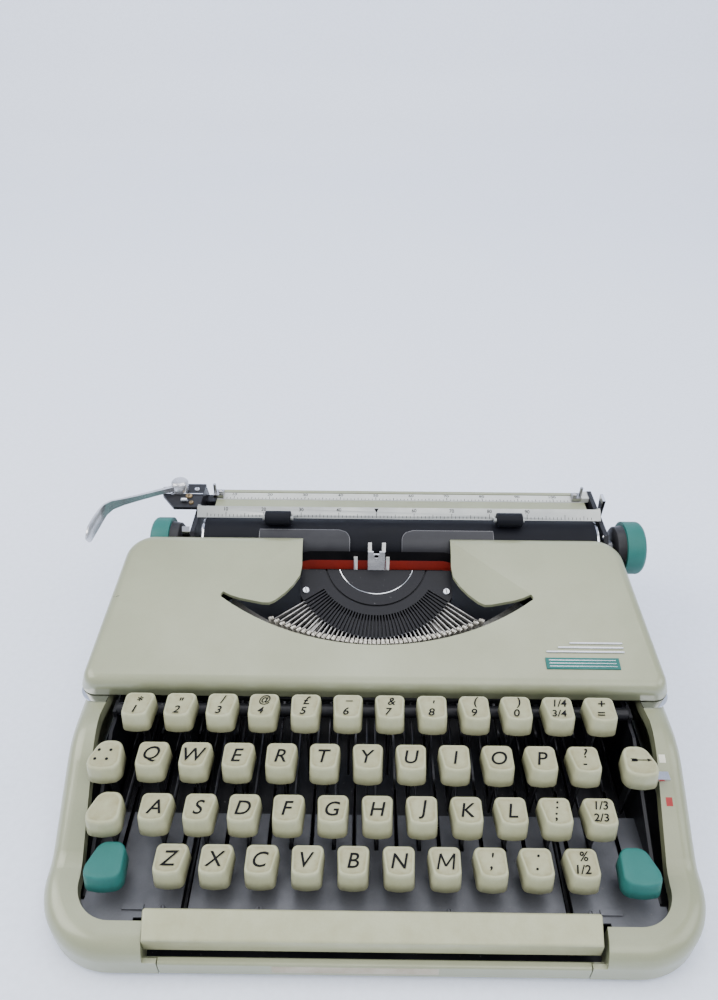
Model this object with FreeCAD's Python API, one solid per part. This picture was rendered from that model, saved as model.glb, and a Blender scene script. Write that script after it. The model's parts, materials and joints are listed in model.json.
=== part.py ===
import FreeCAD, Part
import math
import os
from FreeCAD import Vector as V

# Portable flat-bed typewriter. Units mm, +X to the typist's right, +Y away from the typist, +Z up.
# The table is z = 0 and the body's plan centre is x = y = 0.

# ---- body -----------------------------------------------------------------
BODY_HALF_W = 141.2        # half the width of the case
FRONT_Y = -130.0           # front face of the case
REAR_Y = 127.0             # back face of the case
CASE_Z0 = 3.0              # underside of the case above the table
CASE_JOINT_Z = 46.0        # level of the joint between case and top cover
CASE_REAR_Z = 24.0         # low rim behind the cover
FRONT_BAR_Z = 20.0         # top of the front bar
RAIL_FOOT_Y = -92.4        # where the side rails start to rise
BAR_EDGE_R = 8.0           # rounding of the front bar
CASE_WALL = 2.0            # wall of the lower case
CASE_FRONT_R = 34.0        # plan radius of the front corners
CASE_REAR_R = 25.0         # plan radius of the rear corners
WELL_FRONT_Y = -117.3      # front edge of the keyboard well
STRIP_HALF_W = 86.7        # half the width of the front strip
STRIP_Z = 11.7             # top of the front strip
BAR_HALF_W = 93.4          # half the width of the space bar at its rear edge
BAR_FRONT_HALF_W = 91.6
BAR_GAP = 0.9              # gap between space bar and case
RIM_DEPTH = 6.0            # height of the wall that lines the well
RAIL_TOP_Y = -48.0         # where the side rails reach the joint with the cover
RAIL_FOOT_R = 13.0
RAIL_TOP_R = 40.0
RAIL_END_Y = -19.0
PAN_Z1 = CASE_Z0 + 1.0     # upper face of the base pan
BODY_X = 1.0               # the case sits a little off the middle of the footprint

# ---- top cover --------------------------------------------------------------
COVER_Z0 = 47.2            # lower edge of the cover
COVER_FRONT_Y = -27.0
COVER_REAR_Y = 63.0
COVER_KNEE_Y = -20.0       # where the front lip turns into the main face
COVER_KNEE_Z = 59.0
COVER_REAR_Z = 75.8
COVER_HALF_W = 142.8       # half the width of the cover along its lower edge
COVER_LEAN = 0.36          # the side walls lean in by this much per mm of height
COVER_WALL = 1.6
COVER_REAR_R = 15.0
COVER_FRONT_R = 8.0
COVER_EDGE_R = 5.5         # rounding of the upper edges

# ---- type basket --------------------------------------------------------------
PRINT_X = 2.3              # printing point
PRINT_Y = 57.0
PRINT_Z = 63.0
BASKET_TILT = 20.0         # rise of the segment plane to the rear, degrees
SEGMENT_R = 46.5
SEGMENT_T = 8.0
SLOT_R0 = 33.6             # inner end of the type bar slots
TYPE_BARS = 44
TYPE_BAR_SPAN = 112.6      # angle covered by the type bars, degrees
TYPE_BAR_R0 = 36.5
SLUG_LEN = 3.2
SLUG_W = 1.8
TYPE_BAR_T = 0.6
CRESCENT_R = 20.5
REST_R = 126.0             # radius of the arc-shaped type rest
REST_SAGITTA = 51.5        # distance of the rest from the printing point
REST_HALF_W = 78.0

# ---- carriage -------------------------------------------------------------------
PLATEN_Y = 73.0
PLATEN_Z = 60.0
PLATEN_R = 16.0
PLATEN_X0 = -95.3
PLATEN_X1 = 126.3
KNOB_R = 15.0
KNOB_W = 16.5
KNOB_L_X = -124.6          # outer face of the left knob
KNOB_R_X = 153.2           # outer face of the right knob
PLATE_L_X = -101.5         # carriage end plates
PLATE_R_X = 128.5
PLATE_T = 2.5
DECK_Z = 71.2              # top of the paper table
CARRIAGE_Z0 = 40.6         # underside of the carriage

# ---- keyboard ------------------------------------------------------------------
KEY_PITCH = 19.05
ROW_Y = (-40.5, -59.8, -79.0, -97.0)
ROW_Z = (60.0, 50.0, 40.2, 31.4)
ROW_X0 = (-106.4, -97.2, -93.0, -84.0)
ROW_KEYS = (
    ("1", "2", "3", "4", "5", "6", "7", "8", "9", "0", "quarter", "plus"),
    ("q", "w", "e", "r", "t", "y", "u", "i", "o", "p", "query"),
    ("a", "s", "d", "f", "g", "h", "j", "k", "l", "colon", "third"),
    ("z", "x", "c", "v", "b", "n", "m", "comma", "stop", "half"),
)
CAP_H = 9.0                # height of a key cap
CAP_TOP_REAR_W = 14.0
CAP_TOP_FRONT_W = 11.4
CAP_TOP_LEN = 12.9
CAP_FRONT_FLARE = 2.3      # the front skirt leans out by this much
CAP_SIDE_FLARE = 0.0
CAP_LOW_SLANT = 0.4        # the skirt draws in less than the top does
CAP_REAR_FLARE = 0.2
LEVER_T = 1.0
LEVER_Z0 = 10.5
LEVER_Z1 = 14.0
LEVER_BEND_Y = 0.0         # behind this the levers climb to the shaft
SHAFT_Y = 50.0             # common pivot shaft of all key levers
SHAFT_Z = 20.0
SHAFT_R = 1.5
SHAFT_FIT = 0.08           # radial running clearance
PLATE_Z0 = 12.4            # slotted keyboard plate
PLATE_Z1 = 13.4
PLATE_REAR_Y = -66.0
SLOT_W = 2.0

os.makedirs("parts", exist_ok=True)


def box(x0, x1, y0, y1, z0, z1):
    return Part.makeBox(x1 - x0, y1 - y0, z1 - z0, V(x0, y0, z0))


def rod_x(r, x0, x1, y, z):
    return Part.makeCylinder(r, x1 - x0, V(x0, y, z), V(1, 0, 0))


def rod_z(r, x, y, z0, z1):
    return Part.makeCylinder(r, z1 - z0, V(x, y, z0), V(0, 0, 1))


def face_of(points):
    return Part.Face(Part.makePolygon([V(*p) for p in points] + [V(*points[0])]))


def prism_yz(points, x0, x1):
    return face_of([(x0, y, z) for y, z in points]).extrude(V(x1 - x0, 0, 0))


def prism_xy(points, z0, z1):
    return face_of([(x, y, z0) for x, y in points]).extrude(V(0, 0, z1 - z0))


def fuse(shapes):
    return shapes[0].multiFuse(shapes[1:]).removeSplitter()


def rounded_plan(x0, x1, y0, y1, z0, z1, r_front, r_rear):
    """Block with rounded vertical corners, one radius in front and one behind."""
    blk = box(x0, x1, y0, y1, z0, z1)
    front = []
    rear = []
    for edge in blk.Edges:
        a = edge.Vertexes[0].Point
        b = edge.Vertexes[1].Point
        if abs(a.z - b.z) > 1e-6:
            (front if abs(a.y - y0) < 1e-6 else rear).append(edge)
    if r_front > 0:
        blk = blk.makeFillet(r_front, front)
    if r_rear > 0:
        rear = [e for e in blk.Edges
                if len(e.Vertexes) == 2
                and abs(e.Vertexes[0].Point.z - e.Vertexes[1].Point.z) > 1e-6
                and abs(e.Vertexes[0].Point.y - y1) < 1e-6
                and min(abs(e.Vertexes[0].Point.x - x0), abs(e.Vertexes[0].Point.x - x1)) < 1e-6]
        blk = blk.makeFillet(r_rear, rear)
    return blk


def save(name, shape):
    shape.exportStep("parts/%s.step" % name)


# ---- lower case ------------------------------------------------------------------
def top_rounded(block, z_top, radius):
    """Round the whole upper rim of a block whose top is flat at z_top."""
    rim_edges = [e for e in block.Edges
                 if all(abs(v.Point.z - z_top) < 1e-6 for v in e.Vertexes)
                 and abs(e.CenterOfMass.z - z_top) < 1e-6]
    return block.makeFillet(radius, rim_edges)


def rounded_wire(points, radii):
    """Closed wire through the points; a corner with a radius becomes a tangent arc."""
    n = len(points)
    corners = []
    for i, p in enumerate(points):
        if radii[i] == 0:
            corners.append((p, None, p))
            continue
        before = points[i - 1] - p
        after = points[(i + 1) % n] - p
        before.normalize()
        after.normalize()
        half = before.getAngle(after) / 2
        middle = before + after
        middle.normalize()
        reach = radii[i] / math.tan(half)
        corners.append((p + before * reach, p + middle * (radii[i] / math.sin(half) - radii[i]),
                        p + after * reach))
    edges = []
    for i, (start, middle, end) in enumerate(corners):
        if middle is not None:
            edges.append(Part.Arc(start, middle, end).toShape())
        edges.append(Part.LineSegment(end, corners[(i + 1) % n][0]).toShape())
    return Part.Wire(edges)


def case_block(inset):
    """Case envelope moved inwards by inset; the inner one is open underneath and on top."""
    half = BODY_HALF_W - inset
    y0 = FRONT_Y + inset
    z0 = CASE_Z0 - 3 * inset
    r_rear = CASE_REAR_R - inset
    end_y = RAIL_END_Y if inset == 0 else COVER_FRONT_Y + 4
    # front bar and side rails: one smooth profile, rounded over along its upper edge
    profile = [V(-half, y, z) for y, z in (
        (y0, z0), (y0, FRONT_BAR_Z - inset), (RAIL_FOOT_Y + inset / 2, FRONT_BAR_Z - inset),
        (RAIL_TOP_Y + inset / 2, CASE_JOINT_Z - inset), (end_y, CASE_JOINT_Z - inset), (end_y, z0))]
    rails = Part.Face(rounded_wire(profile, (0, 0, RAIL_FOOT_R, RAIL_TOP_R, 0, 0))).extrude(V(2 * half, 0, 0))
    upright = [e for e in rails.Edges if all(abs(v.Point.y - y0) < 1e-6 for v in e.Vertexes)
               and abs(e.Vertexes[0].Point.z - e.Vertexes[1].Point.z) > 1]
    rails = rails.makeFillet(CASE_FRONT_R - inset, upright)
    upper = [e for e in rails.Edges if all(v.Point.z > FRONT_BAR_Z - inset - 1e-6 for v in e.Vertexes)
             and e.CenterOfMass.y < end_y - 1e-3
             and (abs(e.CenterOfMass.x) > half - CASE_FRONT_R or abs(e.CenterOfMass.y - y0) < 1e-3)
             and not (e.Length > half and e.CenterOfMass.y > y0 + 1)]
    rails = rails.makeFillet(BAR_EDGE_R - inset, upper)
    rear_z = CASE_REAR_Z if inset == 0 else CASE_JOINT_Z + 9
    rear = rounded_plan(-half, half, end_y, REAR_Y - inset, z0, rear_z, 0, r_rear)
    blocks = [rails, rear]
    if inset == 0:
        blocks.append(prism_yz([(end_y, z0), (end_y, CASE_JOINT_Z), (61, CASE_JOINT_Z), (68, CASE_REAR_Z - 1),
                                (68, z0)], -half, half))
    return fuse(blocks)


WELL_EDGE = ((-20.0, 127.8), (-26.0, 127.8), (-31.0, 128.6), (-36.0, 129.2), (-42.0, 129.0), (-50.0, 128.4),
             (-62.0, 127.6), (-76.0, 126.8), (-90.0, 126.0), (-100.0, 124.8))


def well_block(grow):
    """Keyboard well, narrowing towards the typist, with rounded front corners."""
    side = [V(half + grow, y, -5) for y, half in WELL_EDGE]
    corner = [V(119.9 + 0.7 * grow, -112.3 - 0.7 * grow, -5), V(108.0, WELL_FRONT_Y - grow, -5)]
    mirror = [V(-p.x, p.y, p.z) for p in side]
    edges = [Part.LineSegment(p, q).toShape() for p, q in zip(side[:-1], side[1:])]
    edges.append(Part.Arc(side[-1], corner[0], corner[1]).toShape())
    edges.append(Part.LineSegment(corner[1], V(-corner[1].x, corner[1].y, -5)).toShape())
    edges.append(Part.Arc(V(-corner[1].x, corner[1].y, -5), V(-corner[0].x, corner[0].y, -5), mirror[-1]).toShape())
    edges += [Part.LineSegment(q, p).toShape() for p, q in zip(mirror[-2::-1], mirror[:0:-1])]
    edges.append(Part.LineSegment(mirror[0], side[0]).toShape())
    return Part.Face(Part.Wire(Part.__sortEdges__(edges))).extrude(V(0, 0, 95))


outer = case_block(0.0)
inner = case_block(CASE_WALL)
skin = outer.copy()
skin.translate(V(0, 0, -RIM_DEPTH))
rim = outer.cut(skin).common(well_block(CASE_WALL))
rim = rim.cut(box(-BODY_HALF_W, BODY_HALF_W, COVER_FRONT_Y + 6, 200, 0, 100))


def across(rear_half, front_half, y0, y1, z0, z1):
    """Block across the front whose ends draw in towards the typist."""
    return prism_xy([(-rear_half, y1), (-front_half, y0), (front_half, y0), (rear_half, y1)], z0, z1)


notch = across(BAR_HALF_W + BAR_GAP, BAR_FRONT_HALF_W + BAR_GAP, FRONT_Y - 1, WELL_FRONT_Y + 1, STRIP_Z + 0.5, 60)
strip_gap = box(-STRIP_HALF_W - 0.4, STRIP_HALF_W + 0.4, FRONT_Y - 1, WELL_FRONT_Y + 1, CASE_Z0 - 1, 60)
front_rail = box(-BAR_FRONT_HALF_W, BAR_FRONT_HALF_W, FRONT_Y + 2.6, FRONT_Y + 4.6, CASE_Z0, 7.5)
cheeks = across(BAR_HALF_W + BAR_GAP + CASE_WALL, BAR_FRONT_HALF_W + BAR_GAP + CASE_WALL,
                FRONT_Y + 1, WELL_FRONT_Y, PAN_Z1 + 0.3, FRONT_BAR_Z - 1)
cheeks = cheeks.cut(across(BAR_HALF_W + BAR_GAP, BAR_FRONT_HALF_W + BAR_GAP,
                           FRONT_Y, WELL_FRONT_Y + 1, 0, 60)).common(outer)
case = fuse([outer.cut(inner), rim]).cut(well_block(0)).cut(notch).cut(strip_gap)
rail_ends = [box(s * BAR_FRONT_HALF_W - 3, s * BAR_FRONT_HALF_W + 3, FRONT_Y + 1.9, FRONT_Y + 4.6,
                 PAN_Z1 + 0.3, 7.5) for s in (-1, 1)]
case = fuse([case, cheeks, front_rail.cut(box(-200, 200, FRONT_Y + 5.2, 0, 0, PAN_Z1 + 0.3))] + rail_ends)

strip = box(-STRIP_HALF_W, STRIP_HALF_W, FRONT_Y, FRONT_Y + 2.6, CASE_Z0 + 0.5, STRIP_Z)
strip = strip.makeFillet(1.0, [e for e in strip.Edges if abs(e.CenterOfMass.y - FRONT_Y) < 0.01
                               and abs(e.CenterOfMass.z - STRIP_Z) < 0.01])
case = Part.makeCompound([case, strip])
case.translate(V(BODY_X, 0, 0))
save("lower_case", case)

# ---- base pan and feet --------------------------------------------------------------
pan_inset = CASE_WALL + 0.3
pan = rounded_plan(-BODY_HALF_W + pan_inset, BODY_HALF_W - pan_inset, FRONT_Y + 5.3,
                   REAR_Y - pan_inset, CASE_Z0, PAN_Z1, CASE_FRONT_R - 5.3, CASE_REAR_R - pan_inset)
pan.translate(V(BODY_X, 0, 0))
save("base_pan", pan)

FOOT_X = 112.0
FOOT_FRONT_Y = -104.0
FOOT_REAR_Y = 104.0
feet = []
for fx in (-FOOT_X, FOOT_X):
    for fy in (FOOT_FRONT_Y, FOOT_REAR_Y):
        foot = Part.makeCone(7.0, 8.0, CASE_Z0, V(fx, fy, 0), V(0, 0, 1))
        feet.append(foot)
save("rubber_feet", Part.makeCompound(feet))

# ---- chrome trim in the joint between case and cover ---------------------------------
trim = rounded_plan(-BODY_HALF_W - 0.8, BODY_HALF_W + 0.8, COVER_FRONT_Y - 2.2, 59, CASE_JOINT_Z,
                    CASE_JOINT_Z + 0.6, 9, 0)
trim = trim.cut(rounded_plan(-BODY_HALF_W + 3.0, BODY_HALF_W - 3.0, COVER_FRONT_Y + 2, 60,
                             CASE_JOINT_Z - 1, CASE_JOINT_Z + 2, 8, 0)).cut(well_block(0))
trim.translate(V(BODY_X, 0, 0))
save("trim_strips", trim)

# ---- keyboard plate -----------------------------------------------------------------
SHIFT_X = 110.7
SHIFT_LOCK_X = -114.9
MARGIN_X = -118.9
BACKSPACE_X = 117.1
BAR_ARM_X = (-78.5, 82.9)
PLATE_HALF_W = 121.5

plate = fuse([box(-PLATE_HALF_W, PLATE_HALF_W, -113.0, PLATE_REAR_Y, PLATE_Z0, PLATE_Z1)]
             + [box(min(s * 99, s * 124), max(s * 99, s * 124), -118.0, -106.0, PLATE_Z0, PLATE_Z1)
                for s in (-1, 1)])


def slot(x, y_front):
    return box(x - SLOT_W / 2, x + SLOT_W / 2, y_front, PLATE_REAR_Y + 1, PLATE_Z0 - 1, PLATE_Z1 + 1)


slots = []
for row in (2, 3):
    for i in range(len(ROW_KEYS[row])):
        slots.append(slot(ROW_X0[row] + i * KEY_PITCH, ROW_Y[row] - 4.0))
for sx in (-SHIFT_X, SHIFT_X):
    slots.append(slot(sx, ROW_Y[3] - 4.0))
slots.append(slot(SHIFT_LOCK_X, ROW_Y[2] - 4.0))
for ax in BAR_ARM_X:
    slots.append(box(ax - 1.6, ax + 1.6, -114, -71, PLATE_Z0 - 1, PLATE_Z1 + 1))
plate = plate.cut(Part.makeCompound(slots))
plate_legs = [box(x - 3, x + 3, -110.0, -108.0, PAN_Z1, PLATE_Z0) for x in (-116, -30, 30, 116)]

BAR_PIVOT_Y = -69.0
BAR_PIVOT_Z = 9.4
BAR_PIN_R = 1.0
for ax in BAR_ARM_X:
    for s in (-1, 1):
        plate_legs.append(box(min(ax + s * 2.4, ax + s * 3.4), max(ax + s * 2.4, ax + s * 3.4),
                              BAR_PIVOT_Y - 1.8, BAR_PIVOT_Y + 1.8, BAR_PIVOT_Z - 1.8, PLATE_Z0))
    plate_legs.append(rod_x(BAR_PIN_R, ax - 3.4, ax + 3.4, BAR_PIVOT_Y, BAR_PIVOT_Z))
save("keyboard_plate", fuse([plate] + plate_legs))

# ---- chassis ----------------------------------------------------------------------
SIDE_X = 121.5
SIDE_T = 1.5
ROD_Y = -30.4             # cross rod behind the figure keys
ROD_Z = 43.2
SEL_Y = -56.0              # pivot of the ribbon selector
SEL_Z = 24.0
SEL_PIN_R = 1.2
side_pts = [(-104, PAN_Z1), (-104, 12), (-96, 14), (-42, 41), (58, 41), (64, 36), (110, 36), (110, PAN_Z1)]
RAIL_TOP_Z = CARRIAGE_Z0 - 0.4
chassis = []
for s in (-1, 1):
    x0 = s * SIDE_X if s > 0 else -SIDE_X - SIDE_T
    chassis.append(prism_yz(side_pts, x0, x0 + SIDE_T))
chassis.append(rod_x(SHAFT_R, -SIDE_X, SIDE_X, SHAFT_Y, SHAFT_Z))
chassis.append(rod_x(3.0, -SIDE_X, SIDE_X, ROD_Y, ROD_Z))
for s in (-1, 1):
    chassis.append(box(min(s * SIDE_X, s * (SIDE_X + SIDE_T)), max(s * SIDE_X, s * (SIDE_X + SIDE_T)),
                       ROD_Y - 3.5, ROD_Y + 3.5, 36, ROD_Z + 2.0))
chassis.append(box(-SIDE_X, SIDE_X, 84, 108, 30, 33))
chassis.append(box(-SIDE_X, SIDE_X, 88, 92, 33, RAIL_TOP_Z))
chassis.append(box(-SIDE_X, SIDE_X, 102, 105, 33, RAIL_TOP_Z))
SPOOL_X = 104.0
SPOOL_Y = 22.0
SPOOL_R = 17.0
SPOOL_Z0 = 45.0
SPOOL_Z1 = 59.5
for s in (-1, 1):
    shelf = box(min(s * 86, s * SIDE_X), max(s * 86, s * SIDE_X), 2, 42, 39.5, 41)
    chassis.append(shelf)
    chassis.append(rod_z(2.0, s * SPOOL_X, SPOOL_Y, 41, SPOOL_Z1 + 1.0))
chassis = fuse(chassis).cut(rod_x(SEL_PIN_R + SHAFT_FIT, SIDE_X - 1, SIDE_X + SIDE_T + 1, SEL_Y, SEL_Z))
save("chassis", chassis)

# ---- top cover --------------------------------------------------------------------
COVER_RISE = (COVER_REAR_Z - COVER_KNEE_Z) / (COVER_REAR_Y - COVER_KNEE_Y)


def cover_block(inset):
    """Cover envelope moved inwards by inset: drawn flat with leaning sides, then tilted to its slope."""
    angle = math.atan(COVER_RISE)
    start_y = COVER_FRONT_Y - 0.5
    start_z = COVER_KNEE_Z + (start_y - COVER_KNEE_Y) * COVER_RISE
    y0 = inset
    y1 = (COVER_REAR_Y - start_y) / math.cos(angle) - inset
    half = COVER_HALF_W - inset - COVER_LEAN * (start_z - COVER_Z0)
    narrowing = COVER_LEAN * math.sin(angle)
    radii = (COVER_FRONT_R - inset, COVER_FRONT_R - inset, COVER_REAR_R - inset, COVER_REAR_R - inset)
    wires = []
    for depth in (60.0, inset):
        wide = half + COVER_LEAN * math.cos(angle) * depth
        wires.append(rounded_wire([V(-wide + narrowing * y0, y0, -depth), V(wide - narrowing * y0, y0, -depth),
                                   V(wide - narrowing * y1, y1, -depth), V(-wide + narrowing * y1, y1, -depth)],
                                  radii))
    block = Part.makeLoft(wires, True, True)
    block = top_rounded(block, -inset, COVER_EDGE_R - inset)
    block.rotate(V(0, 0, 0), V(1, 0, 0), math.degrees(angle))
    block.translate(V(BODY_X, start_y, start_z))
    floor_z = COVER_Z0 if inset == 0 else COVER_Z0 - 5
    return block.common(box(-200, 200, -200, 200, floor_z, 120))


FOLD_A = V(-40.8, 59.0, 75.0)
FOLD_B = V(-80.1, 24.6, 68.03)
EAR_TIP = V(-47.3, 28.0, 62.5)
OPENING_R = 132.0
OPENING_FRONT_Y = -5.3


def opening_solid():
    """Everything taken out of the cover face: arc in front, fold lines at both sides."""
    pts = [(-FOLD_A.x, 80), (-FOLD_A.x, FOLD_A.y), (-FOLD_B.x, FOLD_B.y)]
    cy = OPENING_FRONT_Y + OPENING_R
    a0 = math.asin(-FOLD_B.x / OPENING_R)
    for k in range(25):
        a = a0 - 2 * a0 * k / 24.0
        pts.append((OPENING_R * math.sin(a), cy - OPENING_R * math.cos(a)))
    pts += [(FOLD_B.x, FOLD_B.y), (FOLD_A.x, FOLD_A.y), (FOLD_A.x, 80)]
    shape = prism_xy(pts, 30, 90)
    for s in (-1, 1):
        shape = shape.fuse(rod_z(1.8, s * (-FOLD_B.x - 1.3), FOLD_B.y - 1.6, 30, 90))
    shape.translate(V(PRINT_X, 0, 0))
    return shape


def ear(side):
    """Facet beside the type basket, folded down from the cover face."""
    plan = [(-41.2, 64.0), (-45.0, 64.0), (-83.5, 26.6), (-79.0, 24.9), (-75.8, 23.9), (-70.8, 23.2), (-59.6, 22.8),
            (-56.2, 23.2), (-53.1, 25.0), (-48.2, 29.6), (-44.3, 34.3), (-40.9, 39.9), (-40.1, 45.4),
            (-40.4, 53.5), (-40.4, 64.0)]
    normal = (FOLD_B - FOLD_A).cross(EAR_TIP - FOLD_A)
    normal.normalize()
    if normal.z < 0:
        normal = normal * -1.0
    slab = Part.makePlane(300, 300)
    slab.translate(V(-150, -150, 0))
    rot = FreeCAD.Rotation(V(0, 0, 1), normal)
    slab.Placement = FreeCAD.Placement(FOLD_A, rot).multiply(slab.Placement)
    slab = slab.extrude(normal * -COVER_WALL)
    shape = prism_xy(plan, 30, 90).common(slab)
    if side > 0:
        shape = shape.mirror(V(0, 0, 0), V(1, 0, 0))
    shape.translate(V(PRINT_X, 0, 0))
    return shape


cover = cover_block(0.0).cut(cover_block(COVER_WALL))
cover = cover.cut(opening_solid())
platen_room = [(48.0, 40), (48.0, 55), (55.2, 60), (55.6, 64), (57.0, 67.5), (59.2, 71.2), (61.2, 73.6),
               (80, 73.6), (80, 40)]
cover = cover.cut(prism_yz(platen_room, -160, 160))
top = cover_block(0.0)
cover = fuse([cover, ear(-1).common(top), ear(1).common(top)])
save("top_cover", cover)

# ---- type basket ------------------------------------------------------------------
TILT = math.radians(BASKET_TILT)


def basket(r, phi, n):
    """World point at radius r and angle phi from straight ahead, n above the segment plane."""
    v = r * math.cos(phi)
    return V(PRINT_X + r * math.sin(phi),
             PRINT_Y - v * math.cos(TILT) - n * math.sin(TILT),
             PRINT_Z - v * math.sin(TILT) + n * math.cos(TILT))


def basket_place(shape):
    """Put a shape drawn flat (x right, -y forward, z up) into the tilted plane."""
    tilted = FreeCAD.Placement(V(PRINT_X, PRINT_Y, PRINT_Z), FreeCAD.Rotation(V(1, 0, 0), BASKET_TILT))
    shape.Placement = tilted.multiply(shape.Placement)
    return shape


def flat_rotated(shape, phi):
    shape.rotate(V(0, 0, 0), V(0, 0, 1), math.degrees(phi))
    return shape


disc = Part.makeCylinder(SEGMENT_R, SEGMENT_T, V(0, 0, -SEGMENT_T))
disc = disc.common(box(-41, 41, -60, -6.4, -SEGMENT_T, 0))
ring_groove = Part.makeCylinder(28.6, 3, V(0, 0, -1.0)).cut(Part.makeCylinder(27.6, 5, V(0, 0, -2)))
crescent_gap = Part.makeCylinder(CRESCENT_R + 0.8, 3, V(0, 0, -1.6)).cut(
    Part.makeCylinder(CRESCENT_R, 5, V(0, 0, -3)))
half_span = math.radians(TYPE_BAR_SPAN) / 2
angles = [-half_span + 2 * half_span * i / (TYPE_BARS - 1.0) for i in range(TYPE_BARS)]
cuts = [ring_groove, crescent_gap]
for phi in angles:
    cuts.append(flat_rotated(box(-0.45, 0.45, -SEGMENT_R - 2, -SLOT_R0, -4.0, 1.0), phi))
segment = basket_place(disc.cut(Part.makeCompound(cuts)))
segment = segment.cut(box(-60, 60, PRINT_Y - 6.1, 90, 20, 90))
save("type_segment", segment)

rest_c = REST_R - REST_SAGITTA
bars = []
for phi in angles:
    reach = math.sqrt(REST_R ** 2 - (rest_c * math.sin(phi)) ** 2) - rest_c * math.cos(phi)
    bar = box(-TYPE_BAR_T / 2, TYPE_BAR_T / 2, SLUG_LEN - reach, -TYPE_BAR_R0, -3.4, -0.6)
    slug = box(-SLUG_W / 2, SLUG_W / 2, -reach, SLUG_LEN - reach, -3.6, 3.0)
    bars.append(basket_place(flat_rotated(bar.fuse(slug), phi)))
save("type_bars", Part.makeCompound(bars))

rest = Part.makeCylinder(REST_R + 2, 1.6, V(0, rest_c, -5.4)).cut(
    Part.makeCylinder(REST_R - 2, 4, V(0, rest_c, -7)))
rest = rest.common(box(-REST_HALF_W, REST_HALF_W, -80, 0, -9, 5))
ribs = []
for deg in (-40, 0, 40):
    a = math.radians(deg)
    reach = 60.0 if deg else REST_SAGITTA
    rib = flat_rotated(box(-1.5, 1.5, -reach, -SEGMENT_R + 0.4, -7.6, -5.4), a)
    ribs.append(rib.cut(Part.makeCylinder(SEGMENT_R, 20, V(0, 0, -10))))
rest = basket_place(fuse([rest] + ribs))
save("type_rest", rest)

GUIDE_Y = PRINT_Y - 6.1
guide = box(PRINT_X - 4.6, PRINT_X + 4.6, GUIDE_Y, GUIDE_Y + 1.0, 52, 73.5)
guide = guide.cut(Part.makeCylinder(1.4, 4, V(PRINT_X, GUIDE_Y - 1, 70.2), V(0, 1, 0)))
guide = guide.cut(box(PRINT_X - 1.6, PRINT_X + 1.6, GUIDE_Y - 1, GUIDE_Y + 2, 71.8, 75))
save("type_guide", guide)

# ---- ribbon, its carrier and spools -------------------------------------------------
RIBBON_H = 12.7
RIBBON_T = 0.3
RIBBON_Y = PRINT_Y - 3.0
path = [(-104, 31.9, 45.9), (-86, 36, 45.9), (-64, 46.5, 50.8), (-42, 53.5, 56.6), (-34, RIBBON_Y, 58.5),
        (39, RIBBON_Y, 58.5), (47, 53.5, 56.6), (69, 46.5, 50.8), (88, 36, 45.9), (104, 31.9, 45.9)]
ribbon_parts = []
for p, q in zip(path[:-1], path[1:]):
    d = V(q[0] - p[0], q[1] - p[1], 0)
    d.normalize()
    off = V(-d.y, d.x, 0) * (RIBBON_T / 2)
    wires = []
    for c in (p, q):
        base = V(*c)
        corners = [base + off, base - off, base - off + V(0, 0, RIBBON_H), base + off + V(0, 0, RIBBON_H)]
        wires.append(Part.makePolygon(corners + [corners[0]]))
    ribbon_parts.append(Part.makeLoft(wires, True, True))
save("ribbon", fuse(ribbon_parts))

VIB_Y0 = GUIDE_Y + 1.6
VIB_Y1 = PRINT_Y - 1.6
vib = [box(PRINT_X - 12.5, PRINT_X + 7.5, VIB_Y0, VIB_Y1, 48.5, 50.5)]
for px in (-11.3, 6.2):
    vib.append(box(PRINT_X + px - 1, PRINT_X + px + 1, VIB_Y0, VIB_Y0 + 0.6, 48.5, 68.5))
for px in (-3.6, 4.0):
    vib.append(box(PRINT_X + px - 1, PRINT_X + px + 1, VIB_Y1 - 0.6, VIB_Y1, 48.5, 76.5))
save("ribbon_vibrator", fuse(vib))

for name, s in (("spool_left", -1), ("spool_right", 1)):
    cx = s * SPOOL_X
    spool = [rod_z(SPOOL_R, cx, SPOOL_Y, SPOOL_Z0, SPOOL_Z0 + 0.8),
             rod_z(SPOOL_R, cx, SPOOL_Y, SPOOL_Z1 - 0.8, SPOOL_Z1),
             rod_z(9.0, cx, SPOOL_Y, SPOOL_Z0, SPOOL_Z1)]
    spool = fuse(spool).cut(rod_z(2.0 + SHAFT_FIT, cx, SPOOL_Y, 40, 70))
    save(name, spool)

# ---- card guides ------------------------------------------------------------------
GUIDE_IN_R = 16.4
GUIDE_OUT_R = 17.0
guide_angles = [math.radians(a) for a in (180.0, 166.0, 152.0, 138.0, 124.0, 110.5)]


def around_platen(r, a):
    return (PLATEN_Y + r * math.cos(a), PLATEN_Z + r * math.sin(a))


cards = []
for x0, x1 in ((-62.5, -12.5), (16.5, 67.0)):
    for a, b in zip(guide_angles[:-1], guide_angles[1:]):
        facet = [around_platen(GUIDE_IN_R, a), around_platen(GUIDE_OUT_R, a),
                 around_platen(GUIDE_OUT_R, b), around_platen(GUIDE_IN_R, b)]
        cards.append(prism_yz(facet, x0, x1))
    cards.append(box(x0 + 8, x0 + 14, PLATEN_Y - GUIDE_OUT_R, PLATEN_Y - GUIDE_IN_R, 41.9, PLATEN_Z))
save("card_guides", Part.makeCompound(cards))

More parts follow.
